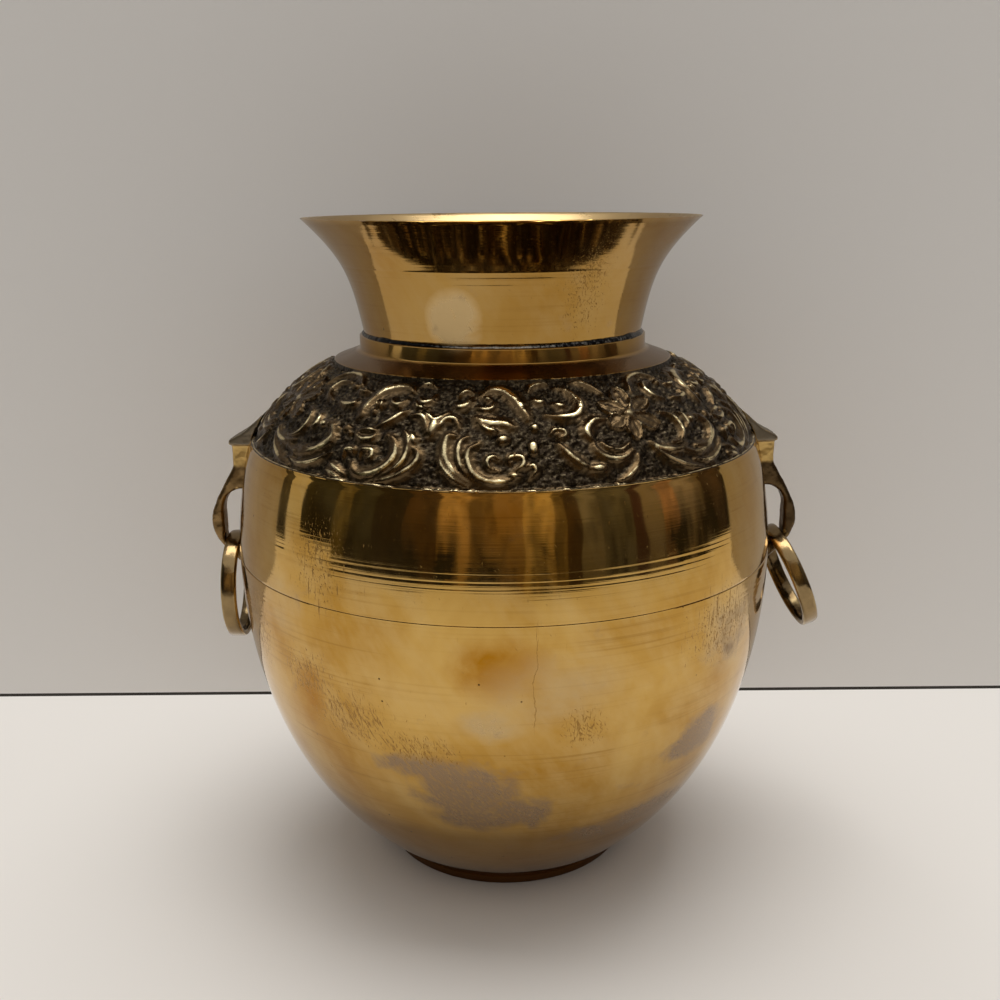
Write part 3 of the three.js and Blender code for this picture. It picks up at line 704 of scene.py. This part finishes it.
def make_solder():
    """A hand-run bead: thick and lumpy at the front right, a hairline at the front, and a dark gap at the
    front left."""
    angle = np.arange(SOLDER_AROUND) * 2 * math.pi / SOLDER_AROUND
    degrees = (np.degrees(angle) + 180) % 360 - 180
    # Lumps about 3.5 mm and 1 mm long
    lumps = noise_round(angle, 9, 0)
    fine = noise_round(angle, 34, 5)
    stops = [-180, -120, -85, -70, -55, -30, -15, 5, 25, 60, 80, 110, 180]
    thick = np.interp(degrees, stops, [.6, .85, .65, .55, .85, .5, .35, .45, .8, 1, .7, .5, .6])
    tinned = np.interp(degrees, stops, [.5, .5, .3, .05, 0, .1, .9, .8, .35, .3, .6, .5, .5])
    size = np.clip(thick + 0.16 * lumps + 0.12 * fine, 0.22, 1.1)
    lean = math.tan(math.radians(NECK_LEAN_DEGREES))
    section = [
        (-0.15, 0.03),
        (0.1 + 0.75 * size, 0.03),
        (0.1 + 0.7 * size, 0.3 * size),
        (0.1 + 0.42 * size, 0.72 * size),
        (0.08 + lean * size, 1.02 * size),
        (lean * size - 0.15, 1.02 * size),
    ]
    rows = [row(NECK_RADIUS + out, COLLAR_TOP_HEIGHT + up, SOLDER_AROUND) for out, up in section]
    piece = skin("solder_bead", rows, True, 70)
    store(piece.data, "tinned", np.tile(tinned, len(rows)))
    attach(piece, "pot")
    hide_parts("neck_solder")
    return piece


# Levels at which a lug's finish changes: its arm, its block and its plate
LUG_LEVELS = [70, 93.4, 94.2, 98.4, 99.3, 112]


def make_lug(side):
    """The cast lug: its solid with its edges rounded and the unevenness of a sand casting."""
    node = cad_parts["lug_" + side]
    piece = put("cast_lug_" + side, node.data.copy())
    remesh = piece.modifiers.new("even grid", "REMESH")
    remesh.mode = "VOXEL"
    remesh.voxel_size = LUG_GRID * MM
    smooth = piece.modifiers.new("worn edges", "SMOOTH")
    smooth.factor = 0.5
    smooth.iterations = 4
    graph = bpy.context.evaluated_depsgraph_get()
    mesh = bpy.data.meshes.new_from_object(piece.evaluated_get(graph))
    piece.modifiers.clear()
    piece.data = mesh
    # Swellings about 2 mm and 0.6 mm wide
    for vertex in mesh.vertices:
        spot = vertex.co / MM
        swell = noise.noise(spot * 0.45) * 0.12 + noise.noise(spot * 1.6) * 0.05
        vertex.co += vertex.normal * swell * MM
    height = points_of(piece)[:, 2]
    # The arms, the right one most, and the plate get a darker tone
    arm_darker_tone = 0.2 if side == "left" else 0.9
    store(mesh, "polished", np.interp(height, LUG_LEVELS, [0, 0, .9, .9, 0, 0]))
    store(mesh, "greyed", np.interp(height, LUG_LEVELS, [0, 0, 0, 0, .85, .85]))
    store(mesh, "darker_tone", np.interp(height, LUG_LEVELS, [arm_darker_tone, arm_darker_tone, 0, 0, .3, .3]))
    mesh.materials.clear()
    mesh.shade_smooth()
    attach(piece, "pot")
    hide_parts("lug_" + side)
    return piece


def make_ring(side, tilt_degrees, turn_degrees):
    """A flat band bent into a hoop, with its corners worn round."""
    half = RING_WIDTH / 2
    outer, inner = RING_DIAMETER / 2, RING_DIAMETER / 2 - RING_THICKNESS
    one_edge = [
        (inner, half - 0.4), (inner + 0.12, half - 0.14), (inner + 0.4, half), (outer - 0.5, half),
        (outer - 0.2, half - 0.12), (outer - 0.06, half - 0.4), (outer, half - 1.0),
    ]
    section = [(radius, -height) for radius, height in one_edge] + one_edge[::-1]
    rows = rows_of(section, RING_AROUND)
    # Dents about 3 mm and 1 mm wide
    for points in rows:
        for i, point in enumerate(points):
            spot = Vector(point)
            dent = noise.noise(spot * 0.33 + Vector((9, 0, 0))) * 0.1 + noise.noise(spot * 1.1) * 0.03
            points[i, :2] *= 1 - abs(dent) / outer
    piece = skin("ring_handle_" + side, rows, True, 60)
    # The inside of the hoop gets a darker tone: painted shade
    inside = np.array([radius < inner + 0.2 for radius, _ in section], dtype=float)
    store(piece.data, "darker_tone", np.repeat(inside * 0.9, RING_AROUND))
    hang = Matrix.Translation((0, 0, (RING_THICKNESS / 2 - outer) * MM))
    upright = Matrix.Rotation(math.pi / 2, 4, "Y")
    tilt = Matrix.Rotation(-math.radians(tilt_degrees), 4, "Y")
    turn = Matrix.Rotation(math.radians(turn_degrees), 4, "Z")
    out = Matrix.Translation((PIVOT_RADIUS * MM, 0, PIVOT_HEIGHT * MM))
    facing = Matrix.Rotation(0 if side == "right" else math.pi, 4, "Z")
    piece.data.transform(facing @ out @ turn @ tilt @ hang @ upright)
    piece.data.update()
    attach(piece, side + "_ring")
    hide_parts("ring_" + side)
    return piece


# Materials


def colour(hex_value):
    """An sRGB hex colour as linear red, green, blue and alpha."""
    parts = [int(hex_value[k:k + 2], 16) / 255 for k in (1, 3, 5)]
    return [c / 12.92 if c <= 0.04045 else ((c + 0.055) / 1.055) ** 2.4 for c in parts] + [1]


def feed(node, sockets):
    """Fills sockets of a node. Each takes a number, a colour, a node or the output that feeds it."""
    for key, value in sockets.items():
        if isinstance(value, bpy.types.Node):
            value = value.outputs[2 if value.type in ("MIX", "ATTRIBUTE") else 0]
        if isinstance(value, bpy.types.NodeSocket):
            node.id_data.links.new(value, node.inputs[key])
        else:
            node.inputs[key].default_value = value


def add(tree, kind, sockets=None, **settings):
    """Adds a node with its settings, and fills its sockets."""
    node = tree.nodes.new("ShaderNode" + kind)
    for name, value in settings.items():
        setattr(node, name, value)
    feed(node, sockets or {})
    return node


def layered(tree, hex_value, layers):
    """A colour with others laid over it, each as far as its mask lets it."""
    tone = colour(hex_value)
    for mask, over in layers:
        tone = add(tree, "Mix", {0: mask, 6: tone, 7: colour(over)}, data_type="RGBA")
    return tone


def new_material(name):
    material = bpy.data.materials.new(name)
    material.use_nodes = True
    tree = material.node_tree
    tree.nodes.clear()
    shader = add(tree, "BsdfPrincipled")
    add(tree, "OutputMaterial", {"Surface": shader})
    return material, tree, shader


def new_metal(name):
    """A metal, with the place on the piece in millimetres, from which each pattern takes its scale."""
    material, tree, shader = new_material(name)
    place = add(tree, "TexCoord").outputs["Object"]
    mm = add(tree, "VectorMath", {0: place, "Scale": 1 / MM}, operation="SCALE")
    feed(shader, {"Metallic": 1})
    return material, tree, shader, mm


# The crack: its place round from the front and its half width, in radians, its strength, and the heights
# between which it fades at each end
CRACK_TURN = 0.066
CRACK_HALF_WIDTH = 0.0013
CRACK_STRENGTH = 0.6
CRACK_TOP = (73, 74)
CRACK_FOOT = (52, 55)


def turned_brass():
    """Cast brass, turned and hand polished. Lathe rings and scuffs blur what it mirrors, fat and dirt leave
    paler smudge marks, and old tarnish lies on it in torn grey-brown patches. Painted light: a paler
     highlight inside the lip, and painted shade low on the belly and on the plain ring, collar and neck."""
    material, tree, shader, mm = new_metal("turned and polished brass")
    painted = {name: add(tree, "Attribute", attribute_name=name) for name in (*MARKS, "painted_shade")}

    # Hairlines 0.3 mm wide, some upright and 7 mm long, and some that lean and are 3 mm long
    upright = add(tree, "VectorMath", {0: mm, 1: (3.3, 3.3, 0.14)}, operation="MULTIPLY")
    hairs = add(tree, "TexNoise", {"Vector": upright, "Scale": 1, "Detail": 2})
    leant = add(tree, "VectorRotate", {"Vector": mm, "Angle": 0.6}, rotation_type="Y_AXIS")
    slanting = add(tree, "VectorMath", {0: leant, 1: (2.9, 2.9, 0.36)}, operation="MULTIPLY")
    dashes = add(tree, "TexNoise", {"Vector": slanting, "Scale": 1, "Detail": 3})
    lines = add(tree, "Math", {0: hairs, 1: dashes}, operation="MAXIMUM")
    worn = add(tree, "Math", {0: painted["scuffs"], 1: 0.2, 2: lines}, operation="MULTIPLY_ADD")
    scratched = add(tree, "MapRange", {0: worn, 1: 0.725, 2: 0.83})

    # Tarnish: 6 mm flakes tear the edges of each patch, and hairlines are rubbed through it
    flake = {"Vector": mm, "Scale": 0.16, "Detail": 5, "Roughness": 0.55, "Distortion": 0.4}
    flakes = add(tree, "TexNoise", flake)
    torn = add(tree, "Math", {0: flakes, 1: 1.6, 2: painted["tarnish"]}, operation="MULTIPLY_ADD")
    patch = add(tree, "MapRange", {0: torn, 1: 1.02, 2: 1.52})
    through = add(tree, "MapRange", {0: dashes, 1: 0.5, 2: 0.66, 3: 1, 4: 0.6})
    tarnished = add(tree, "Math", {0: patch, 1: through}, operation="MULTIPLY")

    # Pits about 4 mm apart, each 0.4 mm wide, of which about one in four shows
    cells = add(tree, "TexVoronoi", {"Vector": mm, "Scale": 0.25})
    pit = add(tree, "MapRange", {0: cells, 1: 0.03, 2: 0.07, 3: 1, 4: 0})
    lot = add(tree, "SeparateColor", {0: cells.outputs["Color"]})
    few = add(tree, "Math", {0: lot, 1: 0.72}, operation="GREATER_THAN")
    pitted = add(tree, "Math", {0: pit, 1: few}, operation="MULTIPLY")

    # Polishing clouds 30 mm wide, leaning wiping marks 8 mm wide and 25 mm long, grease with the painted
    # highlight inside the lip, and warm stains
    cloud = {"Vector": mm, "Scale": 0.035, "Detail": 4, "Roughness": 0.6, "Distortion": 0.4}
    clouds = add(tree, "TexNoise", cloud)
    cloudy = add(tree, "MapRange", {0: clouds, 1: 0.35, 2: 0.68})
    stretched = add(tree, "VectorMath", {0: leant, 1: (0.12, 0.12, 0.04)}, operation="MULTIPLY")
    wiped = add(tree, "TexNoise", {"Vector": stretched, "Scale": 1, "Detail": 4, "Roughness": 0.65})
    # The grease mask also carries the painted highlight inside the lip: paler and rougher there
    grease_and_lip_highlight = add(tree, "Math", {0: flakes, 1: painted["smudges_and_lip_highlight"]}, operation="MULTIPLY")
    pale_grease_and_lip_highlight = add(tree, "MapRange", {0: grease_and_lip_highlight, 1: 0.15, 2: 0.6})
    warmth = add(tree, "Math", {0: flakes, 1: painted["warm"]}, operation="MULTIPLY")
    stained = add(tree, "MapRange", {0: warmth, 1: 0.1, 2: 0.6})

    # Grime in the lathe rings, 0.7 mm apart where they show, coming and going over 50 mm
    level = add(tree, "VectorMath", {0: mm, 1: (0.02, 0.02, 1.4)}, operation="MULTIPLY")
    streaks = add(tree, "TexNoise", {"Vector": level, "Scale": 1, "Detail": 2})
    streaked = add(tree, "MapRange", {0: streaks, 1: 0.54, 2: 0.72, 4: 0.6})
    patchy = add(tree, "MapRange", {0: clouds, 1: 0.45, 2: 0.6, 3: 0.25})
    grimed = add(tree, "Math", {0: streaked, 1: patchy}, operation="MULTIPLY")

    # The crack: a hairline that runs down the front and wavers, a little to the right of the middle
    parts = add(tree, "SeparateXYZ", {0: mm}).outputs
    forward = add(tree, "Math", {0: parts[1], 1: -1}, operation="MULTIPLY")
    turn = add(tree, "Math", {0: parts[0], 1: forward}, operation="ARCTAN2")
    wavering = add(tree, "Math", {0: flakes, 1: -0.06, 2: turn}, operation="MULTIPLY_ADD")
    off = add(tree, "Math", {0: wavering, 1: CRACK_TURN, 2: CRACK_HALF_WIDTH}, operation="COMPARE")
    below_top = add(tree, "MapRange", {0: parts[2], 1: CRACK_TOP[0], 2: CRACK_TOP[1], 3: 1, 4: 0})
    above_foot = add(tree, "MapRange", {0: parts[2], 1: CRACK_FOOT[0], 2: CRACK_FOOT[1], 4: CRACK_STRENGTH})
    between = add(tree, "Math", {0: below_top, 1: above_foot}, operation="MULTIPLY")
    cracked = add(tree, "Math", {0: off, 1: between}, operation="MULTIPLY")
    lined = add(tree, "Math", {0: scratched, 1: cracked}, operation="MAXIMUM")

    wiping = add(tree, "MapRange", {0: wiped, 1: 0.42, 2: 0.7, 4: 0.55})
    tone = layered(tree, "#D0A95E", [
        (cloudy, "#B48636"), (wiping, "#D4B478"), (grimed, "#A07836"), (stained, "#AC761C"),
        # The #7E5C2C layer is painted shade
        (painted["painted_shade"], "#7E5C2C"), (pale_grease_and_lip_highlight, "#C8AC7C"), (tarnished, "#9C8366"), (lined, "#A07A40"),
        (pitted, "#3A2A18"),
    ])

    rough = add(tree, "MapRange", {0: wiped, 1: 0.35, 2: 0.75, 3: 0.045, 4: 0.12})
    matt_shade = add(tree, "MapRange", {0: painted["painted_shade"], 1: 0.5, 2: 1})
    for mask, amount in ((pale_grease_and_lip_highlight, 0.22), (tarnished, 0.2), (lined, 0.32), (matt_shade, 0.14)):
        rough = add(tree, "Math", {0: mask, 1: amount, 2: rough}, operation="MULTIPLY_ADD")

    # Lathe rings 0.2 mm apart are drawn 0.5 mm apart, so that they show. Dents 12 mm wide bend what is
    # mirrored.
    flattened = add(tree, "VectorMath", {0: mm, 1: (0.02, 0.02, 2)}, operation="MULTIPLY")
    rings = add(tree, "TexNoise", {"Vector": flattened, "Scale": 1, "Detail": 2})
    waves = add(tree, "TexNoise", {"Vector": mm, "Scale": 0.08, "Detail": 1})
    marks = add(tree, "Math", {0: lined, 1: pitted}, operation="MAXIMUM")
    bump = None
    for height, depth in ((waves, 0.00016), (rings, 0.000014), (marks, -0.00002)):
        under = {"Normal": bump} if bump else {}
        bump = add(tree, "Bump", {"Strength": 1, "Distance": depth, "Height": height, **under})
    feed(shader, {"Base Color": tone, "Roughness": rough, "Normal": bump})
    feed(shader, {"Anisotropic": 0.25, "Anisotropic Rotation": 0.25})
    return material


def chased_brass():
    """Brass cast with scrolls and darkened: near black in the ground, brown on the flanks, and rubbed bright
    on the crests, whose pale cream is partly a painted highlight."""
    material, tree, shader, mm = new_metal("chased brass with dark patina")
    relief = add(tree, "Attribute", attribute_name="relief")
    # Rubbing is uneven over 3 mm, and the grit of the ground is 0.7 mm
    uneven = add(tree, "TexNoise", {"Vector": mm, "Scale": 0.33, "Detail": 3})
    grit = add(tree, "TexNoise", {"Vector": mm, "Scale": 1.4, "Detail": 2, "Roughness": 0.7})
    rubbed = add(tree, "Math", {0: uneven, 1: 0.6, 2: relief}, operation="MULTIPLY_ADD")
    # Crests: rubbed brass, with a pale cream that is partly a painted highlight
    crest = add(tree, "MapRange", {0: rubbed, 1: 1.1, 2: 1.24})
    flank = add(tree, "MapRange", {0: relief, 1: 0.02, 2: 0.45})
    gritty = add(tree, "MapRange", {0: grit, 1: 0.48, 2: 0.8})
    tone = layered(tree, "#2B231A", [(gritty, "#6E624C"), (flank, "#584730"), (crest, "#F2E0B0")])
    rough = add(tree, "MapRange", {0: flank, 3: 0.46, 4: 0.26})
    smoothed = add(tree, "Math", {0: crest, 1: -0.1, 2: rough}, operation="MULTIPLY_ADD")
    bump = add(tree, "Bump", {"Strength": 0.6, "Distance": 0.0001, "Height": grit})
    feed(shader, {"Base Color": tone, "Roughness": smoothed, "Normal": bump})
    return material


def worn_brass(name, recess, face, edge, roughness, stain):
    """Sand-cast or bent brass, handled for years: dirt in hollows, a dull skin, edges rubbed bright, and a
    darker tone where stored, which inside a ring is painted shade.
    """
    material, tree, shader, mm = new_metal(name)
    polished, greyed, darker_tone = [
        add(tree, "Attribute", attribute_name=kind) for kind in ("polished", "greyed", "darker_tone")
    ]
    # Stains 4 mm wide, and casting grain 0.6 mm wide
    stains = add(tree, "TexNoise", {"Vector": mm, "Scale": 0.25, "Detail": 5, "Roughness": 0.65})
    grain = add(tree, "TexNoise", {"Vector": mm, "Scale": 1.6, "Detail": 3})
    shape = add(tree, "NewGeometry").outputs["Pointiness"]
    broken = add(tree, "Math", {0: stains, 1: 0.06, 2: shape}, operation="MULTIPLY_ADD")
    rubbed = add(tree, "MapRange", {0: broken, 1: 0.56, 2: 0.61, 4: 0.8})
    hollow = add(tree, "MapRange", {0: broken, 1: 0.5, 2: 0.46})
    stained = add(tree, "MapRange", {0: stains, 1: 0.4, 2: 0.66, 4: stain})
    tone = layered(tree, face, [
        (stained, recess), (polished, "#D0AE6C"), (greyed, "#8C8576"), (darker_tone, "#4C3C28"), (hollow, recess),
        (rubbed, edge),
    ])
    rough = add(tree, "MapRange", {0: stains, 1: 0.3, 2: 0.7, 3: roughness, 4: roughness + 0.15})
    matted = add(tree, "Math", {0: greyed, 1: 0.2, 2: rough}, operation="MULTIPLY_ADD")
    bump = add(tree, "Bump", {"Strength": 0.4, "Distance": 0.00004, "Height": grain})
    feed(shader, {"Base Color": tone, "Roughness": matted, "Normal": bump})
    return material


def soft_solder():
    """Tin-lead solder, run in by hand: slate grey where it dulled, with small bright specks, and black in
    the gap."""
    material, tree, shader, mm = new_metal("soft solder")
    tinned = add(tree, "Attribute", attribute_name="tinned")
    # Specks 0.8 mm wide
    specks = add(tree, "TexNoise", {"Vector": mm, "Scale": 1.2, "Detail": 4, "Roughness": 0.7})
    lit = add(tree, "Math", {0: tinned, 1: 0.35, 2: specks}, operation="MULTIPLY_ADD")
    bright = add(tree, "MapRange", {0: lit, 1: 0.62, 2: 0.87})
    bump = add(tree, "Bump", {"Strength": 0.8, "Distance": 0.0001, "Height": specks})
    tone = layered(tree, "#17181B", [(bright, "#B4B3AE")])
    feed(shader, {"Base Color": tone, "Roughness": 0.3, "Normal": bump})
    return material


brass = turned_brass()
chased = chased_brass()

upper_bowl = make_upper_bowl().data
upper_bowl.materials.append(brass)
upper_bowl.materials.append(chased)
on_band = stored(upper_bowl, "relief") > 0
for polygon in upper_bowl.polygons:
    if all(on_band[v] for v in polygon.vertices):
        polygon.material_index = 1
make_lower_bowl().data.materials.append(brass)
make_neck().data.materials.append(brass)
# The foot's dark browns are painted shade under the overhanging belly, over its stains and rubbed edges
shaded_foot_brass = worn_brass("cast foot in painted shade", "#2E1C10", "#5A3A20", "#8A6033", 0.4, 0.8)
make_foot().data.materials.append(shaded_foot_brass)
make_solder().data.materials.append(soft_solder())
dark = worn_brass("patinated cast brass", "#4A3A22", "#947850", "#D2B478", 0.24, 0.7)
ring_brass = worn_brass("worn brass band", "#66543A", "#97805A", "#DCC48E", 0.08, 0.4)
for side in ("left", "right"):
    make_lug(side).data.materials.append(dark)
make_ring("left", 0, 0).data.materials.append(ring_brass)
make_ring("right", RIGHT_RING_TILT_DEGREES, RIGHT_RING_TURN_DEGREES).data.materials.append(ring_brass)


# Stage: a pale table, and an off-white wall close behind the pot. The metal mirrors the table, a board in
# the wall's place, greyer than the wall as painted shade of the wall near the pot, and cloths hung
#  round it. The board and the cloths show in nothing else. Dark strips along the foot of the wall and of the
#  board are painted shadow.
#  Sizes are in millimetres.
TABLE_HALF_WIDTH = 2000
CLOTH_DISTANCE = 600
CLOTH_HEIGHT = 620
PANEL_DEGREES = 3

# Upright sheets: name, half width, foot, top, distance, tone, and whether it is seen in the metal alone
UPRIGHT_SHEETS = [
    ("wall", 1500, 1, 900, 76.6, "#F0EDE9", False),
    # The two dark strips are painted shadow at the wall's foot, and the board's grey is painted shade
    ("wall_foot_gap", 1500, 0, 1, 76.6, "#3A3632", False),
    ("mirrored_board", 400, 1.5, 420, 76.4, "#CFCAC4", True),
    ("mirrored_gap", 400, 0, 1.5, 76.4, "#2A2622", True),
]


def sheet(name, corners, faces, material):
    mesh = bpy.data.meshes.new(name)
    mesh.from_pydata(np.array(corners, dtype=float) * MM, [], faces)
    mesh.materials.append(material)
    piece = put(name, mesh)
    return piece


def matt(name, hex_value):
    material, _, shader = new_material(name)
    feed(shader, {"Base Color": colour(hex_value), "Roughness": 0.9})
    return material


def front_only(material):
    """Makes a sheet clear from behind, so that views from behind the wall see the pot."""
    tree = material.node_tree
    behind = add(tree, "NewGeometry").outputs["Backfacing"]
    clear = add(tree, "BsdfTransparent")
    either = add(tree, "MixShader", {0: behind, 1: tree.nodes["Principled BSDF"], 2: clear})
    feed(tree.nodes["Material Output"], {"Surface": either})
    return material


def show(piece, in_metal):
    """Lets a sheet be seen in the metal alone, or by the camera alone."""
    piece.visible_camera = not in_metal
    piece.visible_glossy = in_metal
    piece.visible_transmission = in_metal
    piece.visible_diffuse = False
    piece.visible_shadow = False


def upright_sheet(name, half_width, low, high, distance, hex_value):
    corners = [(-half_width, distance, low), (half_width, distance, low)]
    corners += [(half_width, distance, high), (-half_width, distance, high)]
    return sheet(name, corners, [[0, 1, 2, 3]], front_only(matt(name, hex_value)))


table = np.array([(-1, -1, 0), (1, -1, 0), (1, 1, 0), (-1, 1, 0)]) * TABLE_HALF_WIDTH
sheet("table_top", table, [[0, 1, 2, 3]], matt("pale table", "#E8E3DC"))
for *plan, in_metal in UPRIGHT_SHEETS:
    show(upright_sheet(*plan), in_metal)

OLIVE = "#48483C"
UMBER = "#2E2619"
SLATE = "#6C6A64"

# Cloths: from and to, in degrees round from the front, the height of the foot, and the tone
CLOTHS = [
    (-103, -97, 5, SLATE), (-88, -71, 40, OLIVE), (-71, -63, 0, "#8E8562"), (-63, -52, 0, OLIVE),
    (-52, -39, 0, UMBER), (-39, -26, 0, "#5A452A"), (-26, -13, -20, "#D2B078"), (-13, 8, -20, "#A68A60"),
    (8, 19, -20, "#DEC38C"), (19, 24, -20, "#8E7A54"), (24, 30, -30, "#4E3A1E"), (30, 38, 0, "#87827A"),
    (38, 52, -30, SLATE), (52, 57, 0, "#4A302E"), (57, 65, 0, "#8C8278"), (65, 73, 0, "#C79E80"),
    (73, 88, 5, "#A69A90"), (88, 103, 8, "#5C4C44"), (130, 150, 0, OLIVE), (168, 197, 0, SLATE),
    (214, 232, 0, UMBER),
]


def hung_cloth(name, hex_value):
    """Plain woollen cloth, flat, with painted shade of soft folds 70 mm wide and a shaded foot."""
    material = matt(name, hex_value)
    tree = material.node_tree
    place = add(tree, "TexCoord").outputs["Object"]
    upright = add(tree, "VectorMath", {0: place, 1: (14, 14, 5)}, operation="MULTIPLY")
    fold_shade_noise = add(tree, "TexNoise", {"Vector": upright, "Scale": 1, "Detail": 3, "Roughness": 0.6})
    height = add(tree, "SeparateXYZ", {0: place}).outputs[2]
    foot = add(tree, "MapRange", {0: height, 1: 0.06, 2: 0.2, 3: 0.55, 4: 0})
    painted_fold_shade = add(tree, "MapRange", {0: fold_shade_noise, 1: 0.42, 2: 0.62, 4: 0.55})
    shade = add(tree, "Math", {0: foot, 1: painted_fold_shade}, operation="ADD", use_clamp=True)
    feed(tree.nodes["Principled BSDF"], {"Base Color": layered(tree, hex_value, [(shade, "#1E1A14")])})
    return material


def hang_cloth(count, start, end, foot, tone):
    """One cloth on the circle, as an upright strip of flat panels."""
    steps = max(2, round((end - start) / PANEL_DEGREES))
    corners = []
    for k in range(steps + 1):
        angle = math.radians(start + (end - start) * k / steps)
        x, y = CLOTH_DISTANCE * math.sin(angle), -CLOTH_DISTANCE * math.cos(angle)
        corners += [(x, y, foot), (x, y, CLOTH_HEIGHT)]
    faces = [[2 * k, 2 * k + 2, 2 * k + 3, 2 * k + 1] for k in range(steps)]
    show(sheet(f"cloth_{count}", corners, faces, hung_cloth(f"cloth {count}", tone)), True)


for count, cloth in enumerate(CLOTHS):
    hang_cloth(count, *cloth)

# The softbox overhead: its place, the place it faces and its size in metres, and its power in watts
LAMP_PLACE = Vector((0.02, 0.1, 1.05))
LAMP_AIM = Vector((0, 0, 0.05))
LAMP_WIDTH = 0.9
LAMP_DEPTH = 0.6
LAMP_WATTS = 6.3

light = bpy.data.lights.new("overhead softbox", "AREA")
light.shape = "RECTANGLE"
light.size = LAMP_WIDTH
light.size_y = LAMP_DEPTH
light.energy = LAMP_WATTS
lamp = put("overhead softbox", light)
lamp.location = LAMP_PLACE
lamp.rotation_euler = (LAMP_AIM - LAMP_PLACE).to_track_quat("-Z", "Y").to_euler()

# Soft light from all round, brighter overhead than at the level of the table: how much it gives, and the
# brighter background as which it is seen and mirrored
GIVEN_LOW, GIVEN_HIGH = 0.1, 0.92
SHOWN_LOW, SHOWN_HIGH = 0.7, 1.1

world = bpy.data.worlds.new("studio")
bpy.context.scene.world = world
world.use_nodes = True
air = world.node_tree
up = add(air, "SeparateXYZ", {0: add(air, "TexCoord").outputs["Generated"]}).outputs[2]
given = add(air, "MapRange", {0: up, 3: GIVEN_LOW, 4: GIVEN_HIGH})
shown = add(air, "MapRange", {0: up, 3: SHOWN_LOW, 4: SHOWN_HIGH})
rays = add(air, "LightPath").outputs
mirrored = add(air, "Math", {0: rays["Is Glossy Ray"], 1: rays["Is Transmission Ray"]}, operation="ADD")
seen = add(air, "Math", {0: rays["Is Camera Ray"], 1: mirrored}, operation="ADD")
strength = add(air, "Mix", {0: seen, 2: given, 3: shown}, data_type="FLOAT")
feed(air.nodes["Background"], {"Color": colour("#E4E2E0"), "Strength": strength.outputs[0]})
bpy.context.scene.view_settings.view_transform = "Standard"
